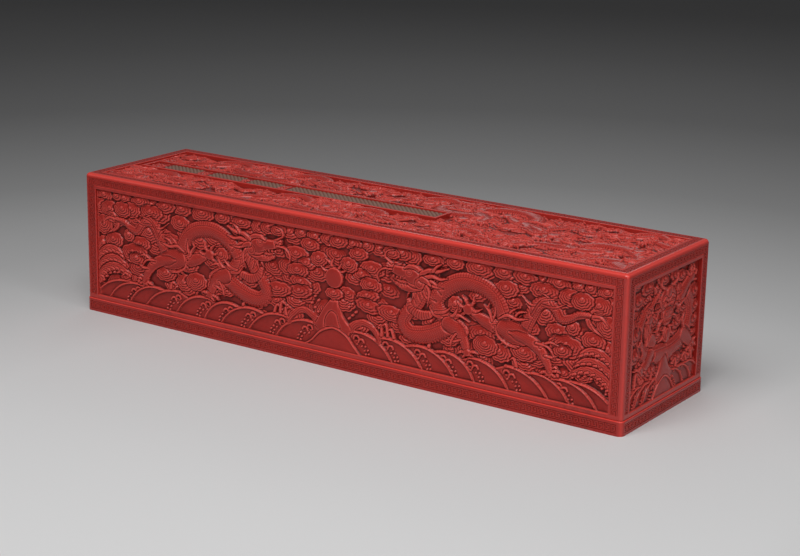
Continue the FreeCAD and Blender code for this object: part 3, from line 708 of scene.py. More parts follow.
# %% [markdown]
# The head comes last on every dragon, so it lies over the neck: mane and beard, lower jaw, skull, snout,
# nostril, teeth, brow, eye, cheek, horns, ear and whiskers, each over the one before.

# %% Head


def dragon_head(p):
    """A head in profile, facing left, about 45 mm long, with its origin behind the eye."""
    mane = [(22, -14), (26, -8), (28, -3), (27, 2), (18, -18), (13, -20)]
    locks(p, [(6, -2), (7, 0), (7, 2)], mane, (2.6, 0.6), 2.3)
    locks(p, [(2, -7), (-2, -8)], [(4, -19), (-1, -17), (-6, -16), (8, -16)], (2.0, 0.6), 2.2)
    draw(p, [(6, -5), (-2, -8), (-9, -8.5), (-16, -6)], [7, 6, 4.4, 2.4], 2.3, crown=0.8)
    draw(p, [(-4, -3.6), (-10, -4.6), (-16, -3.4)], [2.6, 2.4, 1.0], 1.8, crown=0.5)
    boss(p, 2, 0, 19, 14, 2.5, 0.9)
    draw(p, [(0, 2), (-9, 3.2), (-16, 4.2), (-21, 6)], [12, 8.5, 7, 5], 2.6, crown=0.75)
    boss(p, -21.5, 7.5, 6.6, 6, 2.9, 0.6)
    boss(p, -23.5, 6.2, 2.4, 2.2, 3.0, 0.5, groove=0.4)
    for k in range(4):
        draw(p, [(-8 - 3.4 * k, -0.6), (-8.6 - 3.4 * k, -3)], [1.5, 0.5], 2.6, crown=0.4, groove=0.4)
        draw(p, [(-7 - 3 * k, -7), (-7.4 - 3 * k, -4.8)], [1.3, 0.4], 2.4, crown=0.4, groove=0.4)
    draw(p, [(9, 5), (3, 8.6), (-3, 9.2), (-8, 7)], [3.4, 3.6, 3.2, 1.6], 3.0, crown=0.5)
    boss(p, -3.2, 4.4, 5, 4.6, 2.9, 0.5, groove=0.5, dig=0.4)
    boss(p, -3.4, 4.4, 2.2, 2.2, 3.1, 0.4, groove=0.5, dig=0.7)
    boss(p, 6, -3, 9, 9, 2.7, 0.6, groove=0.5, dig=0.4)
    boss(p, 6, -3, 4.6, 4.6, 3.0, 0.5, groove=0.6, dig=0.35)
    draw(p, [(8, 5), (14, 8.6), (22, 9), (31, 12.5)], [4, 3.2, 2.6, 1], 2.9, crown=0.6)
    draw(p, [(18, 8.8), (21, 12.6), (25, 15)], [2.4, 2, 0.8], 2.8, crown=0.5)
    draw(p, [(9, 2), (17, 4.4), (24, 3.4), (31, 5)], [3.4, 2.8, 2.2, 0.8], 2.7, crown=0.6)
    draw(p, [(8, 1), (12, 0), (16, -3)], [4.4, 3.8, 1.2], 2.9, crown=0.5)
    draw(p, [(-20, 9), (-26, 13), (-24, 18), (-18, 19.5)], [1.7, 1.5, 1.3, 0.7], 2.8, crown=0.5)
    draw(p, [(-20, 4), (-28, 3), (-33, -2), (-32, -8)], [1.7, 1.5, 1.3, 0.7], 2.8, crown=0.5)


# %% [markdown]
# The body is one thick scaled ridge in three lengths, with the legs laid over it.

# %% Body
TAIL = [
    (168, 54), (174, 61), (180, 74), (186, 84), (193, 88.5), (200, 85), (206, 78), (213, 79), (221, 84),
    (229, 85),
]
ARCH = [
    (112, 57), (102, 63), (97, 71), (101, 79), (109, 86), (119, 91), (129, 92), (140, 90), (149, 85),
    (155, 77), (158, 68), (161, 58),
]
CHEST = [
    (86, 76), (80, 66), (72, 58), (68, 50), (73, 43), (84, 42.5), (95, 46), (105, 51), (115, 55), (122, 53),
]
DRAGON_MIDDLE = (150.0, 64.0)


def dragon(p):
    """A dragon in profile, striding left with an arched back."""
    tuft = [(243, 85), (246, 79), (241, 71), (240, 90), (234, 73)]
    locks(p, [(226, 85), (228, 84)], tuft, (2.6, 0.6), 2.1)
    draw(p, TAIL, [11.5, 11, 10.5, 10, 9, 7.8, 6.8, 6, 5, 3.6], 1.2, skin=scaled_skin, reach=2, crown=2.0)
    fringe = [(176, 84), (172, 90), (186, 96), (204, 92), (210, 90)]
    locks(p, [(182, 77), (190, 86), (200, 86)], fringe, (1.8, 0.6), 2.0)
    draw(p, ARCH, [11, 11.5, 12, 12.5, 13, 13, 13, 13, 12.5, 12.5, 12.5, 12], 1.2, side=-1,
         skin=scaled_skin, reach=2, crown=2.3)
    draw(p, [(150, 62), (142, 64), (133, 68)], [11, 9.5, 6.5], 1.7, skin=fine_skin, crown=1.7)
    claw(p, 127, 71, 110, 230, reach=11, palm=8.5)
    locks(p, [(148, 66), (146, 70)], [(150, 80), (145, 79), (140, 77)], (2, 0.6), 2.3)
    flame = [(172, 74), (178, 78), (163, 77), (170, 80), (152, 52), (150, 57)]
    locks(p, [(162, 67), (166, 69), (158, 63)], flame, (2.2, 0.7), 2.3)
    claw(p, 198, 36, -75, 190, reach=9.5, palm=6)
    for k in range(7):
        c, s = math.cos(math.radians(150 + 17 * k)), math.sin(math.radians(150 + 17 * k))
        spine = [(166 + 13 * c, 60 + 9.5 * s), (166 + 17 * c, 60 + 13 * s)]
        draw(p, spine, [3, 0.8], 2.4, crown=0.4, groove=0.5)
    draw(p, [(160, 61.5), (166, 60.5), (173, 58.5)], [15, 18, 15], 1.0, crown=2.3, skin=fine_skin)
    crease = [(151.5, 63), (153.5, 55.5), (161, 50.5), (170, 49)]
    draw(p, crease, [1.0, 1.8, 1.8, 0.9], 2.8, crown=0.4, groove=0.7, dig=0.3)
    draw(p, [(154, 69), (161, 72.5), (170, 71), (179, 73)], [1.2, 2.4, 2.2, 0.8], 2.9, crown=0.5, groove=0.8)
    leg = [(164, 60), (172, 58.5), (182, 56), (190, 50.5), (195, 44), (198, 38)]
    draw(p, leg, [3, 8, 9.5, 8.5, 7, 5.5], 1.9, skin=fine_skin, crown=1.6, groove=0.6, dig=0.35)
    locks(p, [(186, 56), (190, 54), (194, 48)], [(202, 62), (206, 57), (205, 50), (203, 46)], (2, 0.6), 2.3)
    draw(p, CHEST, [11, 11, 10.5, 11, 12.5, 14, 14, 14, 13.5, 11], 1.2, side=-1, skin=scaled_skin,
         reach=2, crown=2.3)
    draw(p, [(92, 60), (84, 58.5), (76, 62), (73, 68)], [6, 7.5, 6, 3.5], 2.6, skin=belly_skin)
    wing = [(122, 66), (128, 61), (112, 70), (92, 67), (118, 71)]
    locks(p, [(104, 60), (110, 61), (98, 63)], wing, (2.6, 0.7), 2.6)
    draw(p, [(110, 56), (119, 52), (124, 44), (126, 38)], [12, 10.5, 7.5, 5.5], 1.8, skin=fine_skin,
         crown=1.7)
    claw(p, 127, 37, -80, 190, reach=9.5, palm=6)
    locks(p, [(117, 50), (121, 46)], [(110, 42), (108, 46), (112, 38)], (2, 0.6), 2.4)
    dragon_head(shifted(p, 77, 86))


# %% [markdown]
# Along the foot of each side run breakers. A breaker is a smooth hollow face under a thin raised crest that
# peaks and sweeps down, and in the hollow hang curls of foam and drops. The one nearer the middle overlaps
# the next.

# %% Waves


def foam(p, u, v, size=1.0):
    """Two curls of foam in a dark hollow, with drops falling from them."""
    q = shifted(p, u, v)
    q.size *= size
    for x, y, wide in ((-4.5, -0.4, 6.4), (1.4, -3.6, 6.8), (6.0, -7.6, 5.0)):
        boss(q, x, y, wide, wide * 0.62, 0.35, 0.0, turn=-38, wall=1.0)
    for x, y in ((-6.4, 1.2), (-1.4, -1.2)):
        curl = [(x - 0.6, y - 1.8), (x + 0.6, y + 1.0), (x + 3.4, y + 1.3), (x + 5.0, y - 0.8),
                (x + 3.8, y - 2.0)]
        draw(q, curl, [1.4, 2.0, 2.1, 1.7, 0.9], 2.0, crown=0.5, groove=0.5, dig=0.4)
    for x, y in ((1.6, -5.6), (5.2, -5.2), (7.8, -8.0), (4.4, -8.8), (8.6, -11.2), (-3.2, -4.4),
                 (5.6, -11.8)):
        boss(q, x, y, 2.0, 2.0, 1.6, 1.1, groove=0.6, dig=0.5)


def wave(p, line, base, froth=1.0):
    """A breaker with its crest on an arc through three points."""
    crest = arc(*line, 20)
    left, right = crest[0], crest[-1]
    face = [*map(tuple, crest), (right[0], base - 3), (left[0] - 10, base - 3), (left[0] - 10, left[1] - 4)]
    form(p, face, 2.3, crown=-1.0, soft=6, smooth=False, groove=1.8, dig=0.97)
    draw(p, crest[::2], [1.0, 1.5, 1.6, 1.5, 1.2], 2.9, crown=0.4, groove=0.8, dig=0.25)
    if froth:
        peak = crest[crest[:, 1].argmax()]
        foam(p, peak[0] + 1, peak[1] - 5.6, froth)


def swell(p, line):
    """A curling ridge of water that rears at the end of a panel, ribbed and fringed with drops."""
    ridge = arc(*line)
    draw(p, ridge, [2.5, 6, 7.5, 7, 6], 2.0, crown=0.9, skin=rough_skin, groove=1.4, dig=0.95)
    for k, (u, v) in enumerate(ridge[1:-1]):
        boss(p, u - 2.6, v - 4.2 - 0.5 * (k % 2), 2.3, 2.3, 2.2, 1.0, groove=0.8, dig=0.8)
        draw(p, [(u, v - 1), (u - 2.2, v - 1.6), (u - 2.8, v - 3.2)], [2.2, 1.8, 0.8], 2.6, crown=0.5,
             groove=0.6)


def spray(p, places, level=2.3):
    """Hooked fingers of spray, each with a drop at its tip, given as (u, v, length, lean)."""
    for u, v, long, lean in places:
        c, s = math.cos(math.radians(lean)), math.sin(math.radians(lean))
        tip = (u + long * c, v + long * s)
        hook = (tip[0] - 0.3 * long * s - 1, tip[1] - 0.25 * long)
        finger = [(u, v), ((u + tip[0]) / 2 + 0.8, (v + tip[1]) / 2), tip, hook]
        draw(p, finger, [3.2, 2.4, 1.8, 0.9], level, crown=0.6, groove=0.7)
        boss(p, hook[0] - 1.3, hook[1] - 1.0, 1.9, 1.9, level, 0.9, groove=0.5, dig=0.5)


# %% [markdown]
# The long sides: two dragons face a flaming pearl over a rock in the sea. The back has the same subject as
# the front, as such boxes do, under another sky.

# %% Long sides
SIDE = (-248.4, 248.4, 15.0, 108.2)
SEA_LEVEL = SIDE[2]
CLOUD_PLACES = [
    (220, 104, 15, 9), (190, 103, 13, 9), (104, 104, 14, 8), (135, 103.5, 24, 13), (157, 104, 19, 11),
    (175, 103.5, 21, 11), (203, 103.5, 20, 12), (229, 105, 9, 8), (243, 103.5, 16, 12), (94, 103, 19, 9),
    (114, 104, 15, 10), (75, 102, 17, 13), (66, 103, 16, 10), (45, 103, 18, 10), (56, 102.5, 15, 9),
    (33, 104, 13, 9), (20, 103, 16, 10), (6, 103, 17, 10), (25, 96, 18, 10), (191, 96, 24, 13),
    (151, 89, 19, 12), (159, 92, 20, 13), (247, 94, 14, 13), (237, 92, 19, 15), (213, 95, 19, 13),
    (223, 94, 18, 13), (244, 78, 18, 17), (245, 61, 15, 14), (193, 79, 21, 18), (233, 66, 19, 14),
    (204, 67, 22, 13), (216, 73, 11, 11), (211, 58, 29, 16), (208, 54, 15, 10), (175, 46, 22, 12),
    (155, 42, 18, 14), (142, 45, 21, 15), (38, 86, 23, 13), (28, 80, 18, 10), (37, 73, 20, 12),
    (34, 64, 21, 9), (35, 56, 24, 11), (57, 54, 26, 12), (110, 45, 19, 13), (115, 72, 13, 13),
    (16, 86, 16, 12),
]
SIDE_WAVES = [
    ((215, 32), (231, 31), (250, 20)), ((200, 31), (219, 30.5), (238, 15)),
    ((178, 31), (198, 30.5), (215, 15)), ((160, 33), (179, 30), (197, 15)),
    ((128, 33), (147, 30.5), (163, 15)), ((97, 31), (117, 31.5), (133, 15)),
    ((72, 31), (95, 31.5), (115, 15)), ((45, 32), (68, 31), (86, 15)), ((14, 31), (37, 32), (58, 15)),
]
SIDE_SPRAY = [
    (60, 33, 9, 110), (48, 34, 9, 95), (54, 33, 12, 100), (92, 32, 8, 100), (170, 33, 8, 110),
    (205, 33, 8, 105),
]
SWELLS = [
    ((222, 52), (235, 58.3), (250, 45)), ((219, 44), (232, 50.3), (250, 36.5)),
    ((216, 37), (229, 43.3), (250, 28.5)),
]


def central_rock(p):
    """A smooth peak that rises from a mound of water, and the pearl over it on a curl of cloud."""
    peak = [(-16, 33), (-9, 45), (-4, 52), (2, 58), (6, 55), (8, 47), (14, 40), (19, 33), (10, 24), (-8, 24)]
    for side in (-1, 1):
        ridge = [(2 + side * x, y) for x, y in ((12, 30), (20, 38), (30, 42), (40, 37), (44, 30))]
        draw(p, ridge, [7, 6, 5, 5, 4], 1.7, crown=0.7, skin=rough_skin)
        for k in range(5):
            boss(p, 2 + side * (15 + 3.2 * (k % 3)), 43 + 3.1 * k, 2.2, 2.2, 2.0, 0.9, groove=0.6, dig=0.6)
    form(p, peak, 2.2, crown=0.9, soft=6)
    form(p, [(-6, 33), (-5, 40), (0, 46), (5, 44), (7, 38), (8, 33)], 2.8, crown=0.5, soft=4)
    mound = [(-25, 15), (-19, 19), (-10, 28), (0, 32.5), (5, 32.5), (10, 31), (16, 27.5), (22, 21), (28, 15)]
    form(p, [*mound, (28, 12), (-25, 12)], 2.2, crown=0.7, soft=12, smooth=False, groove=1.3)
    draw(p, mound, [1.2, 1.6, 1.9, 1.9, 1.9, 1.9, 1.6, 1.2], 3.1, crown=0.4, groove=0.6, dig=0.3)
    cloud(p.block, p.u + 2, 60.5, 17, 9, 1.4, 1.8, rings=3)
    locks(p, [(2, 79)], [(-7, 88), (2, 90), (10, 87), (-12, 82), (15, 82)], (2.4, 0.7), 2.2)
    boss(p, 2.5, 73.5, 16.5, 16.5, 2.7, 0.8)


def long_side(seed, pitch):
    """The whole drawing of one long side."""
    block = new_block(*SIDE, pitch)
    sky(block, seed, 18, 112)
    for flip, middle in ((-1, 3.0), (1, 0.0)):
        p = pen(block, middle, 0, flip)
        for u, v, wide, tall in CLOUD_PLACES:
            (x, y), = put(p, (u, v))
            lean = flip * (u % 7 - 3) * 3
            cloud(block, x, y, wide, tall, 1.15, 1.9, rings=round(tall / 3.3), phase=u, turn=lean)
        for line in SWELLS:
            swell(p, line)
        spray(p, SIDE_SPRAY)
        dragon(p)
        for k, line in enumerate(SIDE_WAVES):
            wave(p, line, SEA_LEVEL, froth=0 if k in (0, 2) else 0.95)
    central_rock(pen(block))
    return block


# %% [markdown]
# The ends: a dragon seen from the front coils round its own pearl above the waves. The body goes down first
# in one long turn, then the four feet, then the face on top.

# %% Ends
END = (-53.4, 53.4, 15.0, 108.2)


def front_face(p):
    """A dragon's face seen from the front, with its origin between the eyes."""
    for side in (-1, 1):
        mane = [(side * 16, 10), (side * 20, 4), (side * 21, -3), (side * 18, -10), (side * 13, -15)]
        locks(p, [(side * 7, 1), (side * 8, -3)], mane, (3.0, 0.7), 2.3, bow=0.25 * side)
        draw(p, [(side * 4, 6), (side * 7, 12), (side * 12, 15), (side * 13, 20)], [3.6, 3, 2.4, 0.9], 2.6)
        whisker = [(side * 3, -11), (side * 12, -12), (side * 17, -18), (side * 24, -17)]
        draw(p, whisker, [1.8, 1.6, 1.4, 0.7], 2.7)
        draw(p, [(side * 2, -16), (side * 5, -22), (side * 3, -27)], [2.4, 2, 0.7], 2.3)
    boss(p, 0, 3, 25, 19, 1.9, 1.4)
    boss(p, 0, -13, 13, 9, 1.9, 0.9)
    boss(p, 0, -8.5, 16, 11, 2.2, 1.2)
    for side in (-1, 1):
        boss(p, side * 4.8, -0.5, 5.6, 4.6, 2.9, 0.5, groove=0.6, dig=0.4)
        boss(p, side * 4.6, -0.6, 2.2, 2.2, 3.1, 0.4, groove=0.6, dig=0.7)
        draw(p, [(side * 1.5, 2), (side * 5, 4.6), (side * 9.5, 3)], [2.6, 3, 1.4], 3.0, crown=0.5)
        boss(p, side * 3.2, -8, 3.6, 3.2, 3.0, 0.5, groove=0.5, dig=0.4)
        for k in range(3):
            tooth = side * (1 + 2 * k)
            draw(p, [(tooth, -12.4), (tooth, -14.8)], [1.3, 0.5], 2.8, crown=0.4, groove=0.4)
    boss(p, 0, 8, 8, 8, 2.8, 0.8, groove=0.8)


END_BODY = [
    (4, 78), (18, 88), (33, 86), (41, 74), (38, 60), (26, 51), (10, 47), (-8, 48), (-24, 50), (-37, 57),
    (-41, 70), (-35, 83), (-25, 88), (-16, 94),
]
END_LEGS = [
    ((24, 86), (32, 93), (39, 97), 60), ((-22, 62), (-28, 70), (-27, 79), 100),
    ((30, 54), (38, 49), (44, 43), -60), ((-24, 50), (-30, 44), (-38, 42), -110),
]
END_CLOUDS = [
    (-44, 96, 16, 12), (-30, 103, 17, 10), (-6, 104, 18, 9), (14, 103, 16, 10), (46, 84, 13, 13),
    (24, 101, 13, 9), (-47, 70, 13, 12), (-46, 55, 14, 12), (47, 62, 14, 12), (48, 72, 12, 10),
    (20, 66, 15, 10), (-14, 63, 16, 9), (-18, 76, 12, 10), (-20, 38, 17, 10), (22, 37, 17, 10),
    (-36, 33, 15, 9), (40, 34, 15, 9),
]


def end_side(seed, pitch):
    """The whole drawing of one end."""
    block = new_block(*END, pitch)
    sky(block, seed, 18, 112, (14.5, 8.2), (13, 20), 0.5)
    p = pen(block)
    widths = [14, 15, 15, 14, 14, 16, 16, 15, 13, 11, 10, 8.5, 6.5, 4]
    locks(p, [(-18, 92)], [(-8, 102), (-14, 104), (-22, 103), (-30, 100)], (3.0, 0.8), 2.1)
    draw(p, END_BODY, widths, 1.1, skin=scaled_skin, reach=2, crown=2.4, groove=1.6, dig=0.95)
    for u, v, wide, tall in END_CLOUDS:
        cloud(block, u, v, wide, tall, 1.0, 2.0, rings=2, phase=u, turn=(u % 7 - 3) * 5)
    for root, knee, foot, toward in END_LEGS:
        draw(p, [root, knee, foot], [12, 10, 7], 1.9, skin=fine_skin, crown=1.6, groove=1.2, dig=0.9)
        claw(p, *foot, toward, 190, reach=9, palm=7.5)
    body_flames = [(22, 68), (-20, 70), (18, 74), (30, 72), (-32, 76)]
    locks(p, [(30, 60), (-30, 60), (28, 82)], body_flames, (2.2, 0.7), 2.4)
    locks(p, [(2, 60)], [(-8, 66), (12, 66), (-10, 57), (14, 57), (2, 51)], (2.6, 0.7), 2.4)
    boss(p, 2, 60, 11, 11, 2.3, 1.2, groove=1.2, dig=0.9)
    front_face(shifted(p, 2, 85))
    for flip in (-1, 1):
        p = pen(block, 0, 0, flip)
        spray(p, [(38, 28, 11, 110), (46, 27, 15, 100), (20, 30, 8, 100)])
        for u in (40, 27, 14):
            wave(p, ((u - 9, 28), (u + 5, 29.5), (u + 18, 15)), SEA_LEVEL, froth=0.75)
    p = pen(block)
    rock = [(-13, 30), (-8, 36), (-5, 43), (0, 46), (4, 42), (8, 35), (13, 30), (8, 22), (-8, 22)]
    form(p, rock, 2.4, crown=0.8)
    mound = [(-17, 15), (-10, 24), (-3, 28.5), (3, 28.5), (10, 24), (17, 15)]
    form(p, [*mound, (17, 12), (-17, 12)], 2.2, crown=0.7, soft=10, smooth=False, groove=1.2)
    draw(p, mound, [1.2, 1.7, 1.9, 1.9, 1.7, 1.2], 3.1, crown=0.4, groove=0.6, dig=0.3)
    return block


# %% [markdown]
# The top is the richest panel: dragons of several sizes chase pearls through cloud on all sides of the long
# title slip. They are the same drawing as on the sides, turned and scaled.

# %% Top
TOP = (-248.4, 248.4, -53.4, 53.4)
TOP_CLOUDS = [
    (150, 42, 20, 11), (168, 36, 18, 11), (108, 33, 22, 12), (98, 14, 19, 11), (116, 6, 19, 9),
    (142, -14, 20, 9), (120, -16, 18, 9), (98, -12, 19, 11), (140, -34, 18, 11), (206, -12, 23, 11),
    (192, 12, 20, 11), (216, 16, 20, 9), (196, -42, 20, 11), (168, -44, 18, 9), (62, -22, 18, 11),
    (58, -42, 19, 11), (222, 40, 14, 10), (-182, 38, 20, 11), (-100, 38, 19, 11), (-50, 24, 18, 11),
    (-14, 26, 15, 10), (-232, 24, 18, 11), (-208, -28, 20, 11), (-160, -38, 20, 11), (-122, -38, 18, 11),
    (-70, -27, 20, 9), (8, -28, 18, 9), (-64, 42, 13, 9),
]


def top_side(seed, pitch):
    """The whole drawing of the top."""
    block = new_block(*TOP, pitch)
    sky(block, seed, -56, 58, (16.5, 9.5), (14, 23), 0.7)
    for u, v, wide, tall in TOP_CLOUDS:
        cloud(block, u, v, wide, tall, 1.15, 1.9, rings=3, phase=u, turn=u % 9 - 4)
    placed = [
        (-195, -33, 1, 0.64, 4), (-80, -34, -1, 0.64, -3), (20, -33, 1, 0.62, 2),
        (-195, 33, -1, 0.64, -5), (-84, 34, 1, 0.64, 3), (22, 33, -1, 0.62, -3),
        (120, 22, 1, 0.92, -12), (196, -20, -1, 0.92, 8), (112, -36, 1, 0.5, 0), (212, 38, -1, 0.5, 0),
    ]
    for u, v, flip, size, turn in placed:
        dragon(pen(block, u, v, flip, size, turn, DRAGON_MIDDLE))
    for u, v in ((-138, -30), (-138, 32), (-30, -32), (-30, 33), (160, 2), (78, 3), (234, 0)):
        p = pen(block, u, v)
        locks(p, [(0, 0)], [(-8, 6), (0, 9), (8, 6), (-9, -3), (9, -3), (0, -9)], (2.6, 0.7), 2.4)
        boss(p, 0, 0, 9, 9, 2.8, 0.7)
    return block


# %% [markdown]
# A finished block becomes a sheet: a grid with one corner for every height, its border extruded down to the
# sunk floor and closed underneath, laid into its field. Long fields take two or three sheets side by side,
# so that no mesh is too heavy. Two masks go with each sheet: hollow, for painted shade in places below their
# surroundings and along the top edge of the field, and crest, for edges above their surroundings, painted
# lighter as wear and highlight.

# %% Sheets of carved lacquer
SEAT_GAP = 0.02
BED_GAP = 0.12
FLOOR_X, FLOOR_Y, FLOOR_Z = WALL_X - FIELD_DEPTH, WALL_Y - FIELD_DEPTH, WALL_Z - FIELD_DEPTH
FRONT_SEAT = ((0, -FLOOR_Y, 0), (1, 0, 0), (0, -1, 0))
BACK_SEAT = ((0, FLOOR_Y, 0), (-1, 0, 0), (0, 1, 0))
RIGHT_SEAT = ((FLOOR_X, 0, 0), (0, 1, 0), (1, 0, 0))
LEFT_SEAT = ((-FLOOR_X, 0, 0), (0, -1, 0), (-1, 0, 0))
TOP_SEAT = ((0, 0, FLOOR_Z), (1, 0, 0), (0, 0, 1))


def seat_matrix(seat):
    """The matrix from a flat drawing in mm to its seat: a point, the way across and the way out."""
    origin, across, out = (Vector(part) for part in seat)
    up = out.cross(across)
    turn = Matrix((across, up, out)).transposed().to_4x4()
    return Matrix.Translation(origin * MM) @ turn @ Matrix.Scale(MM, 4)


def soften(h, reach):
    """Averages each height with its neighbours up to reach cells away, twice over."""
    width = 2 * reach + 1
    for axis in (0, 1, 0, 1):
        h = np.moveaxis(h, axis, 0)
        total = np.cumsum(np.pad(h, ((reach + 1, reach), (0, 0)), mode="edge"), axis=0)
        h = np.moveaxis((total[width:] - total[:-width]) / width, 0, axis)
    return h


def finish_block(block, low=0.12, high=FLUSH):
    """Keeps the heights within the field, and maps the painted shade of the hollows and the lighter crests."""
    pitch = block.u[1] - block.u[0]
    u, v = np.meshgrid(block.u, block.v)
    from_side = np.minimum(u - block.u[0], block.u[-1] - u)
    from_top = block.v[-1] - v
    edge = np.minimum(low + 0.3 + from_side * 3.5, low + 0.2 + from_top * 1.7)
    block.h = np.clip(np.minimum(block.h, edge), low, high)
    near, wide = soften(block.h, max(1, round(0.5 / pitch))), soften(block.h, round(1.8 / pitch))
    # Painted shade: darker where a cell lies below its surroundings or low over the floor, and in a band along
    # the top edge of the field, where the border casts its shadow. The crest mask paints the high edges lighter,
    # as wear and painted highlight.
    below = 0.8 * np.clip((wide - block.h) / 0.9, 0, 1) + 0.4 * np.clip((1.3 - block.h) / 1.2, 0, 1)
    below = below + 0.7 * np.clip(1.4 - from_top, 0, 1)
    block.hollow = np.clip(below + 0.6 * np.clip((near - block.h) / 0.25, 0, 1), 0, 1)
    block.crest = 0.85 * np.clip((block.h - near) / 0.2, 0, 1)
    return block


def bed(block, seat, node):
    """Raises a block wherever the solid under it stands higher, so that the sheet never cuts it."""
    place = seat_matrix(seat)
    tree = BVHTree.FromObject(frame["nodes"][node], bpy.context.evaluated_depsgraph_get())
    turn = place.to_3x3()
    across = turn @ Vector((1, 0, 0))
    inward = -(turn @ Vector((0, 0, 1))).normalized()
    solid = np.zeros(block.h.shape)
    for row, v in enumerate(block.v):
        start = place @ Vector((0, v, FIELD_DEPTH + 1))
        hits = (tree.ray_cast(start + across * u, inward)[3] for u in block.u)
        solid[row] = [FIELD_DEPTH + 1 - hit / MM if hit else 0 for hit in hits]
    solid[solid > FIELD_DEPTH - 0.5] = 0
    for axis in (0, 1):
        solid = np.maximum(solid, np.maximum(np.roll(solid, 1, axis), np.roll(solid, -1, axis)))
    block.h = np.where(solid > 0.05, np.maximum(block.h, solid + BED_GAP), block.h)
    return block


# %% [markdown]
# A few small tools for meshes. The UV map sees a sheet from straight above, so colours laid out on it follow
# the carving.

# %% Mesh tools


def new_grid(name, across, up):
    """A flat grid from -1 to 1, with so many cells each way."""
    bpy.ops.object.select_all(action="DESELECT")
    bpy.ops.mesh.primitive_grid_add(x_subdivisions=across, y_subdivisions=up, size=2)
    piece = bpy.context.object
    piece.name = piece.data.name = name
    return piece


def face_outwards():
    """Selects all that is being edited and turns its faces outwards."""
    bpy.ops.mesh.select_all(action="SELECT")
    bpy.ops.mesh.normals_make_consistent(inside=False)


def only(piece):
    """Selects one piece alone and makes it the active one."""
    bpy.ops.object.select_all(action="DESELECT")
    piece.select_set(True)
    bpy.context.view_layer.objects.active = piece


def set_mask(piece, name, values):
    """Writes a number for every corner of a piece."""
    mask = piece.data.attributes.new(name, "FLOAT", "POINT")
    mask.data.foreach_set("value", np.asarray(values, np.float32).ravel())


def corners_of(piece):
    """The corners of a mesh as an array."""
    flat = np.empty(len(piece.data.vertices) * 3, np.float32)
    piece.data.vertices.foreach_get("co", flat)
    return flat.reshape(-1, 3)


def flat_map(piece, low, high):
    """A UV map seen from straight above. Side walls and the underside shrink to a point of it."""
    layer = piece.data.uv_layers[0] if piece.data.uv_layers else piece.data.uv_layers.new()
    layer.name = "OFBake"
    corner = np.empty(len(piece.data.loops), np.int32)
    piece.data.loops.foreach_get("vertex_index", corner)
    uv = (corners_of(piece)[corner, :2] - low) / (np.asarray(high) - low) * 0.99 + 0.005
    count = len(piece.data.polygons)
    sizes, facing = np.empty(count, np.int32), np.empty(count * 3, np.float32)
    piece.data.polygons.foreach_get("loop_total", sizes)
    piece.data.polygons.foreach_get("normal", facing)
    uv[np.repeat(facing[2::3] < 0.02, sizes)] = 0.002
    layer.data.foreach_set("uv", uv.astype(np.float32).ravel())


# %% [markdown]
# One sheet is a grid with a corner for every height. Its border is extruded down to the floor and closed
# under it.

# %% Cut a sheet


def cut_sheet(name, block, u_range, v_range, seat, material, body="cover"):
    """Makes one closed sheet from a part of a block."""
    i = [int(np.abs(block.u - x).argmin()) for x in u_range]
    j = [int(np.abs(block.v - x).argmin()) for x in v_range]
    across, up = i[1] - i[0], j[1] - j[0]
    piece = new_grid(name, across, up)
    column, row = np.rint((corners_of(piece)[:, :2] + 1) / 2 * (across, up)).astype(int).T
    at = (row + j[0], column + i[0])
    u = u_range[0] + (u_range[1] - u_range[0]) * column / across
    v = v_range[0] + (v_range[1] - v_range[0]) * row / up
    places = np.column_stack([u, v, block.h[at]]).astype(np.float32)
    piece.data.vertices.foreach_set("co", places.ravel())
    set_mask(piece, "hollow", block.hollow[at])
    set_mask(piece, "crest", block.crest[at])
    piece.data.update()
    bpy.ops.object.shade_smooth()
    bpy.ops.object.mode_set(mode="EDIT")
    bpy.ops.mesh.select_mode(type="EDGE")
    bpy.ops.mesh.select_all(action="DESELECT")
    bpy.ops.mesh.select_non_manifold()
    bpy.ops.mesh.mark_sharp()
    bpy.ops.mesh.extrude_region_move(TRANSFORM_OT_translate={"value": (0, 0, -10)})
    bpy.ops.transform.resize(value=(1, 1, 0), center_override=(0, 0, SEAT_GAP))
    bpy.ops.mesh.edge_face_add()
    face_outwards()
    bpy.ops.object.mode_set(mode="OBJECT")
    flat_map(piece, (u_range[0], v_range[0]), (u_range[1], v_range[1]))
    piece.data.transform(seat_matrix(seat))
    piece.data.update()
    dress(piece, material)
    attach(piece, body)
    return piece


def inset_range(low, high):
    """A field's limits, less the seating gap."""
    return low + SEAT_GAP, high - SEAT_GAP


def panel(name, block, seat, parts, material):
    """Lays a block into its field as so many sheets side by side."""
    low, high = inset_range(block.u[0], block.u[-1])
    marks = np.linspace(low, high, parts + 1)
    for k in range(parts):
        label = name if parts == 1 else f"{name}_{k + 1}"
        cut_sheet(label, block, (marks[k], marks[k + 1]), inset_range(block.v[0], block.v[-1]), seat,
                  material)


# %% [markdown]
# Now the front, the back and the two ends are drawn, bedded on their solids, and laid.

# %% Lay the side panels
front_block = finish_block(bed(long_side(3, SHEET_PITCH), FRONT_SEAT, "cover_front_lacquer"))
panel("front_carving", front_block, FRONT_SEAT, 3, red_carved)
back_block = finish_block(bed(long_side(11, SHEET_PITCH * 1.12), BACK_SEAT, "cover_back_lacquer"))
panel("back_carving", back_block, BACK_SEAT, 2, red_carved)
for name, seed, seat in (("right", 5, RIGHT_SEAT), ("left", 8, LEFT_SEAT)):
    end_block = finish_block(bed(end_side(seed, SHEET_PITCH), seat, f"cover_{name}_lacquer"))
    panel(f"{name}_end_carving", end_block, seat, 1, red_carved)
print("carved panels laid; front block", front_block.h.shape)

# %% [markdown]
# The top field goes round the title slip, which stands in it as an island, so its block is cut into four
# sheets: one before and one behind the slip, a small one at its left end, and the broad one on its right.

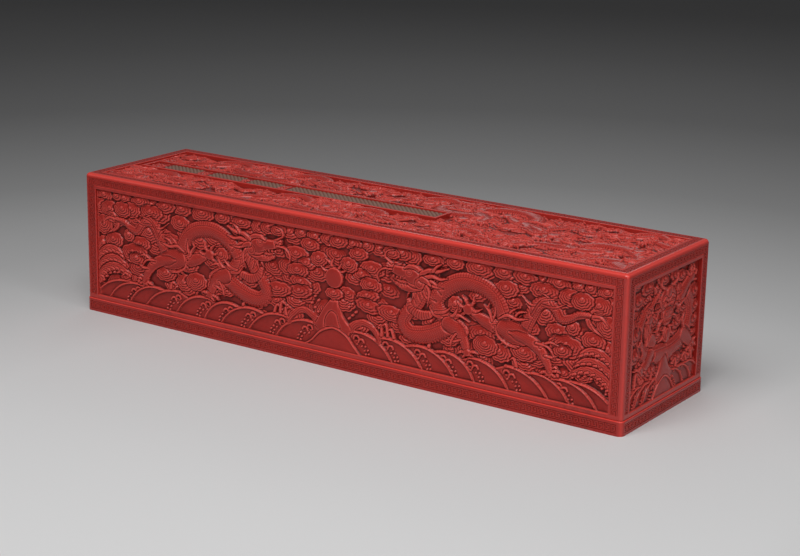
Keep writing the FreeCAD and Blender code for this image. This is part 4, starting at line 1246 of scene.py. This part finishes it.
# %% Top panel round the slip
slip_low, slip_high = (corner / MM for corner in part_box("title_slip_ground"))
SLIP_FRAME = 2.4
slip_left, slip_right = slip_low.x - SLIP_FRAME, slip_high.x + SLIP_FRAME
slip_half = slip_high.y + SLIP_FRAME
top_block = finish_block(bed(top_side(2, SHEET_PITCH * 1.02), TOP_SEAT, "cover_top_lacquer"))
u_low, u_high = inset_range(TOP[0], TOP[1])
v_low, v_high = inset_range(TOP[2], TOP[3])
TOP_SHEETS = {
    "top_carving_front": ((u_low, slip_right), (v_low, -slip_half - SEAT_GAP)),
    "top_carving_back": ((u_low, slip_right), (slip_half + SEAT_GAP, v_high)),
    "top_carving_left": ((u_low, slip_left - SEAT_GAP), (-slip_half, slip_half)),
    "top_carving_right": ((slip_right + SEAT_GAP, u_high), (v_low, v_high)),
}
for name, (u_range, v_range) in TOP_SHEETS.items():
    cut_sheet(name, top_block, u_range, v_range, TOP_SEAT, red_carved)
print("slip from", round(slip_left, 1), "to", round(slip_right, 1))

# %% [markdown]
# The title slip is a long sunk label. Its ground is a greyish brown lacquer cut with slanting bars, and
# between stretches of it stand red panels, each with a plain flower scroll.

# %% Title slip
SLIP_PITCH = 0.36
BARRED = [(-224, -189), (-175.5, -141.5), (-133.6, -102), (-90.4, None)]
BAR_PITCH, BAR_LEAN = 3.0, math.radians(43)


def barred_ground(block):
    """Slanting bars with a fine cross cut, like a rope laid flat."""
    u, v = np.meshgrid(block.u, block.v)
    over = u * math.cos(BAR_LEAN) + v * math.sin(BAR_LEAN)
    along = v * math.cos(BAR_LEAN) - u * math.sin(BAR_LEAN)
    bar = 0.5 + 0.5 * np.cos(2 * math.pi * over / BAR_PITCH)
    block.h = 0.3 + 0.55 * bar**0.7 + cut_lines(along, 1.2, 0.35, 0.2) * bar


def floret_panel(block):
    """A five-petalled flower with leaves curling away on both sides."""
    middle, half = (block.u[0] + block.u[-1]) / 2, (block.u[-1] - block.u[0]) / 2
    p = pen(block, middle, 0)
    block.h += lozenges(*np.meshgrid(block.u, block.v), 1.8, 0.5, 0.2) + 0.1
    for flip in (-1, 1):
        q = pen(block, middle, 0, flip)
        if half > 5:
            stem = [(2, -2), (half * 0.45, -5), (half - 2, -2.5), (half - 2.5, 1)]
            draw(q, stem, [1.2, 1.4, 1.1, 0.6], 0.9, crown=0.3)
            draw(q, [(half * 0.4, 0), (half * 0.6, 4), (half - 2, 5.5)], [2.4, 2.0, 0.6], 0.9, crown=0.4)
        draw(q, [(0, -3), (half * 0.3, -7)], [2, 0.6], 0.9, crown=0.3)
    for k in range(5):
        turn = 90 + 72 * k
        a = math.radians(turn)
        boss(p, 2.3 * math.cos(a), 2.3 * math.sin(a), 3.2, 2.4, 1.0, 0.4, turn=turn, groove=0.4, dig=0.5)
    boss(p, 0, 0, 1.9, 1.9, 1.2, 0.4, groove=0.4, dig=0.5)


slip_seat = ((0, 0, slip_high.z), (1, 0, 0), (0, 0, 1))
edges = [slip_low.x] + [x for pair in BARRED for x in pair if x is not None] + [slip_high.x]
for k, (start, end) in enumerate(zip(edges, edges[1:])):
    barred = k % 2 == 1
    block = new_block(start, end, slip_low.y, slip_high.y, SLIP_PITCH)
    (barred_ground if barred else floret_panel)(block)
    finish_block(block, 0.1, 1.7)
    u_range, v_range = inset_range(start, end), inset_range(slip_low.y, slip_high.y)
    label = f"slip_{'bars' if barred else 'flowers'}_{k // 2 + 1}"
    finish, slot = (slip_lacquer, "slip_lacquer") if barred else (red_carved, "red_lacquer")
    cut_sheet(label, block, u_range, v_range, slip_seat, finish)
print("slip panels:", len(edges) - 1)

# %% [markdown]
# Every sunk border band holds a fret of square spirals. One spiral is drawn by extruding the edge of a small
# square from corner to corner, raised, and paired with its mirror image. An array repeats the pair along
# each band.

# %% Fret
FRET_BAND = 6.2
FRET_RELIEF = 0.6
RIDGE = 0.62
SPIRAL = [
    (0.35, -2.45), (4.3, -2.45), (4.3, 2.4), (0.35, 2.4), (0.35, -1.1), (3.0, -1.1), (3.0, 1.1), (1.6, 1.1),
]
SPIRAL_LENGTH = 5.05


def select_edge_near(mesh, point):
    """Selects the edge whose middle is nearest to a point."""
    bm = bmesh.from_edit_mesh(mesh)
    bm.edges.ensure_lookup_table()
    for edge in bm.edges:
        edge.select_set(False)
    nearest = min(bm.edges, key=lambda e: ((e.verts[0].co + e.verts[1].co) / 2 - Vector(point)).length)
    nearest.select_set(True)
    bm.select_flush_mode()
    bmesh.update_edit_mesh(mesh)


def make_spiral_pair():
    """One square spiral and its mirror image, standing on z = 0, in mm."""
    bpy.ops.object.select_all(action="DESELECT")
    x, y = SPIRAL[0]
    bpy.ops.mesh.primitive_plane_add(size=RIDGE, location=(x, y, 0))
    spiral = bpy.context.object
    bpy.ops.object.transform_apply(location=True)
    bpy.ops.object.mode_set(mode="EDIT")
    bpy.ops.mesh.select_mode(type="EDGE")
    for (x, y), (to_x, to_y) in zip(SPIRAL, SPIRAL[1:]):
        way = Vector((to_x - x, to_y - y, 0))
        step = way.normalized()
        select_edge_near(spiral.data, Vector((x, y, 0)) + step * RIDGE / 2)
        for length in (way.length - RIDGE, RIDGE):
            bpy.ops.mesh.extrude_region_move(TRANSFORM_OT_translate={"value": step * length})
    bpy.ops.mesh.select_all(action="SELECT")
    bpy.ops.mesh.extrude_region_move(TRANSFORM_OT_translate={"value": (0, 0, FRET_RELIEF)})
    face_outwards()
    bpy.ops.mesh.duplicate()
    bpy.ops.transform.resize(value=(1, -1, 1), center_override=(0, 0, 0))
    bpy.ops.transform.translate(value=(SPIRAL_LENGTH, 0, 0))
    face_outwards()
    bpy.ops.object.mode_set(mode="OBJECT")
    return spiral


# %% [markdown]
# Copies of the pair, a little stretched or squeezed to fill a band exactly, make one strip per band.

# %% Fret strips


def fret_strip(pair, start, along, out, length):
    """Copies the pair along a band, which is given by its start, its two directions and its length."""
    count = max(1, round(length / (2 * SPIRAL_LENGTH)))
    only(pair)
    bpy.ops.object.duplicate()
    strip = bpy.context.object
    array = strip.modifiers.new("repeat", "ARRAY")
    array.count = count
    array.use_relative_offset = False
    array.use_constant_offset = True
    array.constant_offset_displace = (2 * SPIRAL_LENGTH, 0, 0)
    bpy.ops.object.modifier_apply(modifier="repeat")
    fit = length / (count * 2 * SPIRAL_LENGTH)
    strip.data.transform(seat_matrix((start, along, out)) @ Matrix.Diagonal((fit, 1, 1, 1)))
    return strip


def fret_group(name, pair, bands, body):
    """Joins the strips of one panel, which keep the pair's masks of painted shade and highlight, and gives it the
    carved lacquer.
    """
    strips = [fret_strip(pair, *band) for band in bands]
    bpy.ops.object.select_all(action="DESELECT")
    for strip in strips:
        strip.select_set(True)
    bpy.context.view_layer.objects.active = strips[0]
    bpy.ops.object.join()
    piece = bpy.context.object
    piece.name = piece.data.name = name
    dress(piece, red_carved)
    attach(piece, body)
    return piece


spiral_pair = make_spiral_pair()
# The sides and ground of the fret get painted shade, and the tops of the ridges a faint painted highlight.
top = np.abs(corners_of(spiral_pair)[:, 2] - FRET_RELIEF) < 0.01
set_mask(spiral_pair, "hollow", np.where(top, 0.0, 0.7))
set_mask(spiral_pair, "crest", np.where(top, 0.25, 0.0))
print("one spiral pair has", len(spiral_pair.data.polygons), "faces")

# %% [markdown]
# Each wall of the cover has a band along its top and one down each side, the top has one along each edge, and the
# plinth has one along each wall.

# %% Lay the fret
SUNK = 0.7
BAND_IN = 3.8
MIDDLE_IN = BAND_IN + FRET_BAND / 2
BAND_FOOT = 15.0
band_height = WALL_Z - BAND_IN - FRET_BAND - BAND_FOOT


def level_band(out, face, half, height):
    """A level band of one wall: out is the way it faces, face how far out it is, half its half length."""
    out = Vector(out)
    across = Vector((-out.y, out.x, 0))
    start = out * (face - SUNK) - across * (half - BAND_IN) + Vector((0, 0, height))
    return start, across, out, 2 * (half - BAND_IN)


def wall_bands(out, face, half):
    """The three bands of one wall of the cover."""
    bands = [level_band(out, face, half, WALL_Z - MIDDLE_IN)]
    across, out = bands[0][1:3]
    for side in (-1, 1):
        foot = out * (face - SUNK) + across * side * (half - MIDDLE_IN) + Vector((0, 0, BAND_FOOT))
        bands.append((foot, Vector((0, 0, 1)), out, band_height))
    return bands


WALLS = {
    "front": ((0, -1, 0), WALL_Y, WALL_X),
    "back": ((0, 1, 0), WALL_Y, WALL_X),
    "right_end": ((1, 0, 0), WALL_X, WALL_Y),
    "left_end": ((-1, 0, 0), WALL_X, WALL_Y),
}
for name, wall in WALLS.items():
    fret_group(f"{name}_fret", spiral_pair, wall_bands(*wall), "cover")

lid, up = WALL_Z - SUNK, Vector((0, 0, 1))
long_run, short_run = 2 * (WALL_X - BAND_IN), 2 * (WALL_Y - BAND_IN - FRET_BAND)
top_bands = []
for side in (-1, 1):
    long_start = Vector((-long_run / 2, side * (WALL_Y - MIDDLE_IN), lid))
    short_start = Vector((side * (WALL_X - MIDDLE_IN), -short_run / 2, lid))
    top_bands.append((long_start, Vector((1, 0, 0)), up, long_run))
    top_bands.append((short_start, Vector((0, 1, 0)), up, short_run))
fret_group("top_fret", spiral_pair, top_bands, "cover")

PLINTH_OUT = 0.8
PLINTH_BAND_MIDDLE = 5.5
plinth_bands = []
for out, face, half in WALLS.values():
    plinth_bands.append(level_band(out, face + PLINTH_OUT, half + PLINTH_OUT, PLINTH_BAND_MIDDLE))
fret_group("plinth_fret", spiral_pair, plinth_bands, "base")
bpy.data.objects.remove(spiral_pair)
print("fret bands:", 3 * len(WALLS) + len(top_bands) + len(plinth_bands))

# %% [markdown]
# Inside, each bamboo rest has a round seat for the roller, lined with yellow silk over a little wadding. The
# pad is a strip bent round the seat: full in the middle, thin at its edges, with a stitched line along both
# sides.

# %% Silk
SEAT_RADIUS = 42.0
SEAT_MIDDLE = 63.1
SILK_GOLD = (0.60, 0.37, 0.10, 1)
SILK_PALE = (0.72, 0.5, 0.2, 1)
PAD_FULL = 1.85


def make_silk():
    """A plain silk: fine threads both ways, a soft sheen, and a faint figure of clouds in the weave."""
    material, tree, surface, place = finish_material(
        "yellow_silk", Sheen_Weight=0.5, Sheen_Roughness=0.35, Specular_IOR_Level=0.35
    )
    warp = add_node(tree, "TexWave", {"bands_direction": "X"}, Vector=place, Scale=1100.0).outputs[1]
    weft = add_node(tree, "TexWave", {"bands_direction": "Y"}, Vector=place, Scale=900.0).outputs[1]
    weave = sums(tree, "MULTIPLY", warp, weft)
    figure = add_node(tree, "TexVoronoi", Vector=place, Scale=260.0).outputs[0]
    drift = use_group(tree, tone_drift, Place=place, Colour=SILK_GOLD, Strength=0.6)
    share = ramp(tree, figure, [(0.3, 0.35), (0.5, 0.0)])
    figured = blend_colours(tree, share, drift["Colour"], SILK_PALE)
    tree.links.new(figured, surface.inputs["Base Color"])
    rough = sums(tree, "MULTIPLY_ADD", weave, 0.2, 0.42)
    tree.links.new(rough, surface.inputs["Roughness"])
    bumped = add_node(tree, "Bump", Strength=0.6, Distance=0.08 * MM, Height=weave)
    tree.links.new(bumped.outputs["Normal"], surface.inputs["Normal"])
    return material


silk = make_silk()


def silk_pad(name, node):
    """A wadded strip in the seat of one rest."""
    low, high = (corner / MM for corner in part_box(node))
    middle_x, half_width = (low.x + high.x) / 2, (high.x - low.x) / 2
    reach = math.asin(min(1, (high.y - low.y) / 2 / SEAT_RADIUS)) * 0.985
    pad = new_grid(name, 16, 60)
    bpy.ops.object.mode_set(mode="EDIT")
    bpy.ops.mesh.select_all(action="SELECT")
    bpy.ops.mesh.extrude_region_move(TRANSFORM_OT_translate={"value": (0, 0, 1)})
    face_outwards()
    bpy.ops.object.mode_set(mode="OBJECT")
    x, y, upper = corners_of(pad).T
    edge = np.minimum(1 - np.abs(x), (1 - np.abs(y)) * 4)
    stitch = 0.5 * np.exp(-(((1 - np.abs(x)) - 0.2) / 0.07) ** 2)
    full = 0.55 + 1.25 * np.sqrt(np.clip(edge * 2.2, 0, 1)) - stitch
    radius = SEAT_RADIUS + PAD_FULL - upper * np.clip(full, 0.3, PAD_FULL)
    angle = y * reach
    across = middle_x + x * (half_width - 0.1)
    places = np.column_stack([across, radius * np.sin(angle), SEAT_MIDDLE - radius * np.cos(angle)]) * MM
    pad.data.vertices.foreach_set("co", places.astype(np.float32).ravel())
    only(pad)
    bpy.ops.object.mode_set(mode="EDIT")
    face_outwards()
    bpy.ops.object.mode_set(mode="OBJECT")
    bpy.ops.object.shade_smooth()
    dress(pad, silk)
    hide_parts(node)
    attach(pad, "base")
    return pad


for side in ("left", "right"):
    silk_pad(f"{side}_seat_pad", f"{side}_rest_silk")
print("seat pads of", silk.name)

# %% [markdown]
# The box stands on one wide sheet of paper. Its colour is a painted pool of light: palest under the box and
# darker with the distance, which gives the soft grey gradient behind the box.

# %% Paper


def make_sweep():
    """A wide sheet of paper with a painted pool of light, pale under the box and darker far from it."""
    bpy.ops.object.select_all(action="DESELECT")
    bpy.ops.mesh.primitive_plane_add(size=SWEEP_SIZE)
    sweep = bpy.context.object
    sweep.name = sweep.data.name = "studio_sweep"
    material, tree, surface, place = finish_material("sweep_paper", Roughness=0.9, Specular_IOR_Level=0.2)
    far = add_node(tree, "VectorMath", {"operation": "DISTANCE"}, in0=place, in1=LIGHT_POOL_MIDDLE)
    share = sums(tree, "DIVIDE", far.outputs["Value"], LIGHT_POOL_REACH)
    light_pool = [(0.12, 0.71), (0.2, 0.56), (0.34, 0.34), (0.51, 0.205), (0.71, 0.155), (0.94, 0.128)]
    tree.links.new(ramp(tree, share, light_pool), surface.inputs["Base Color"])
    dress(sweep, material)


make_sweep()
print("paper", SWEEP_SIZE, "m wide")

# %% [markdown]
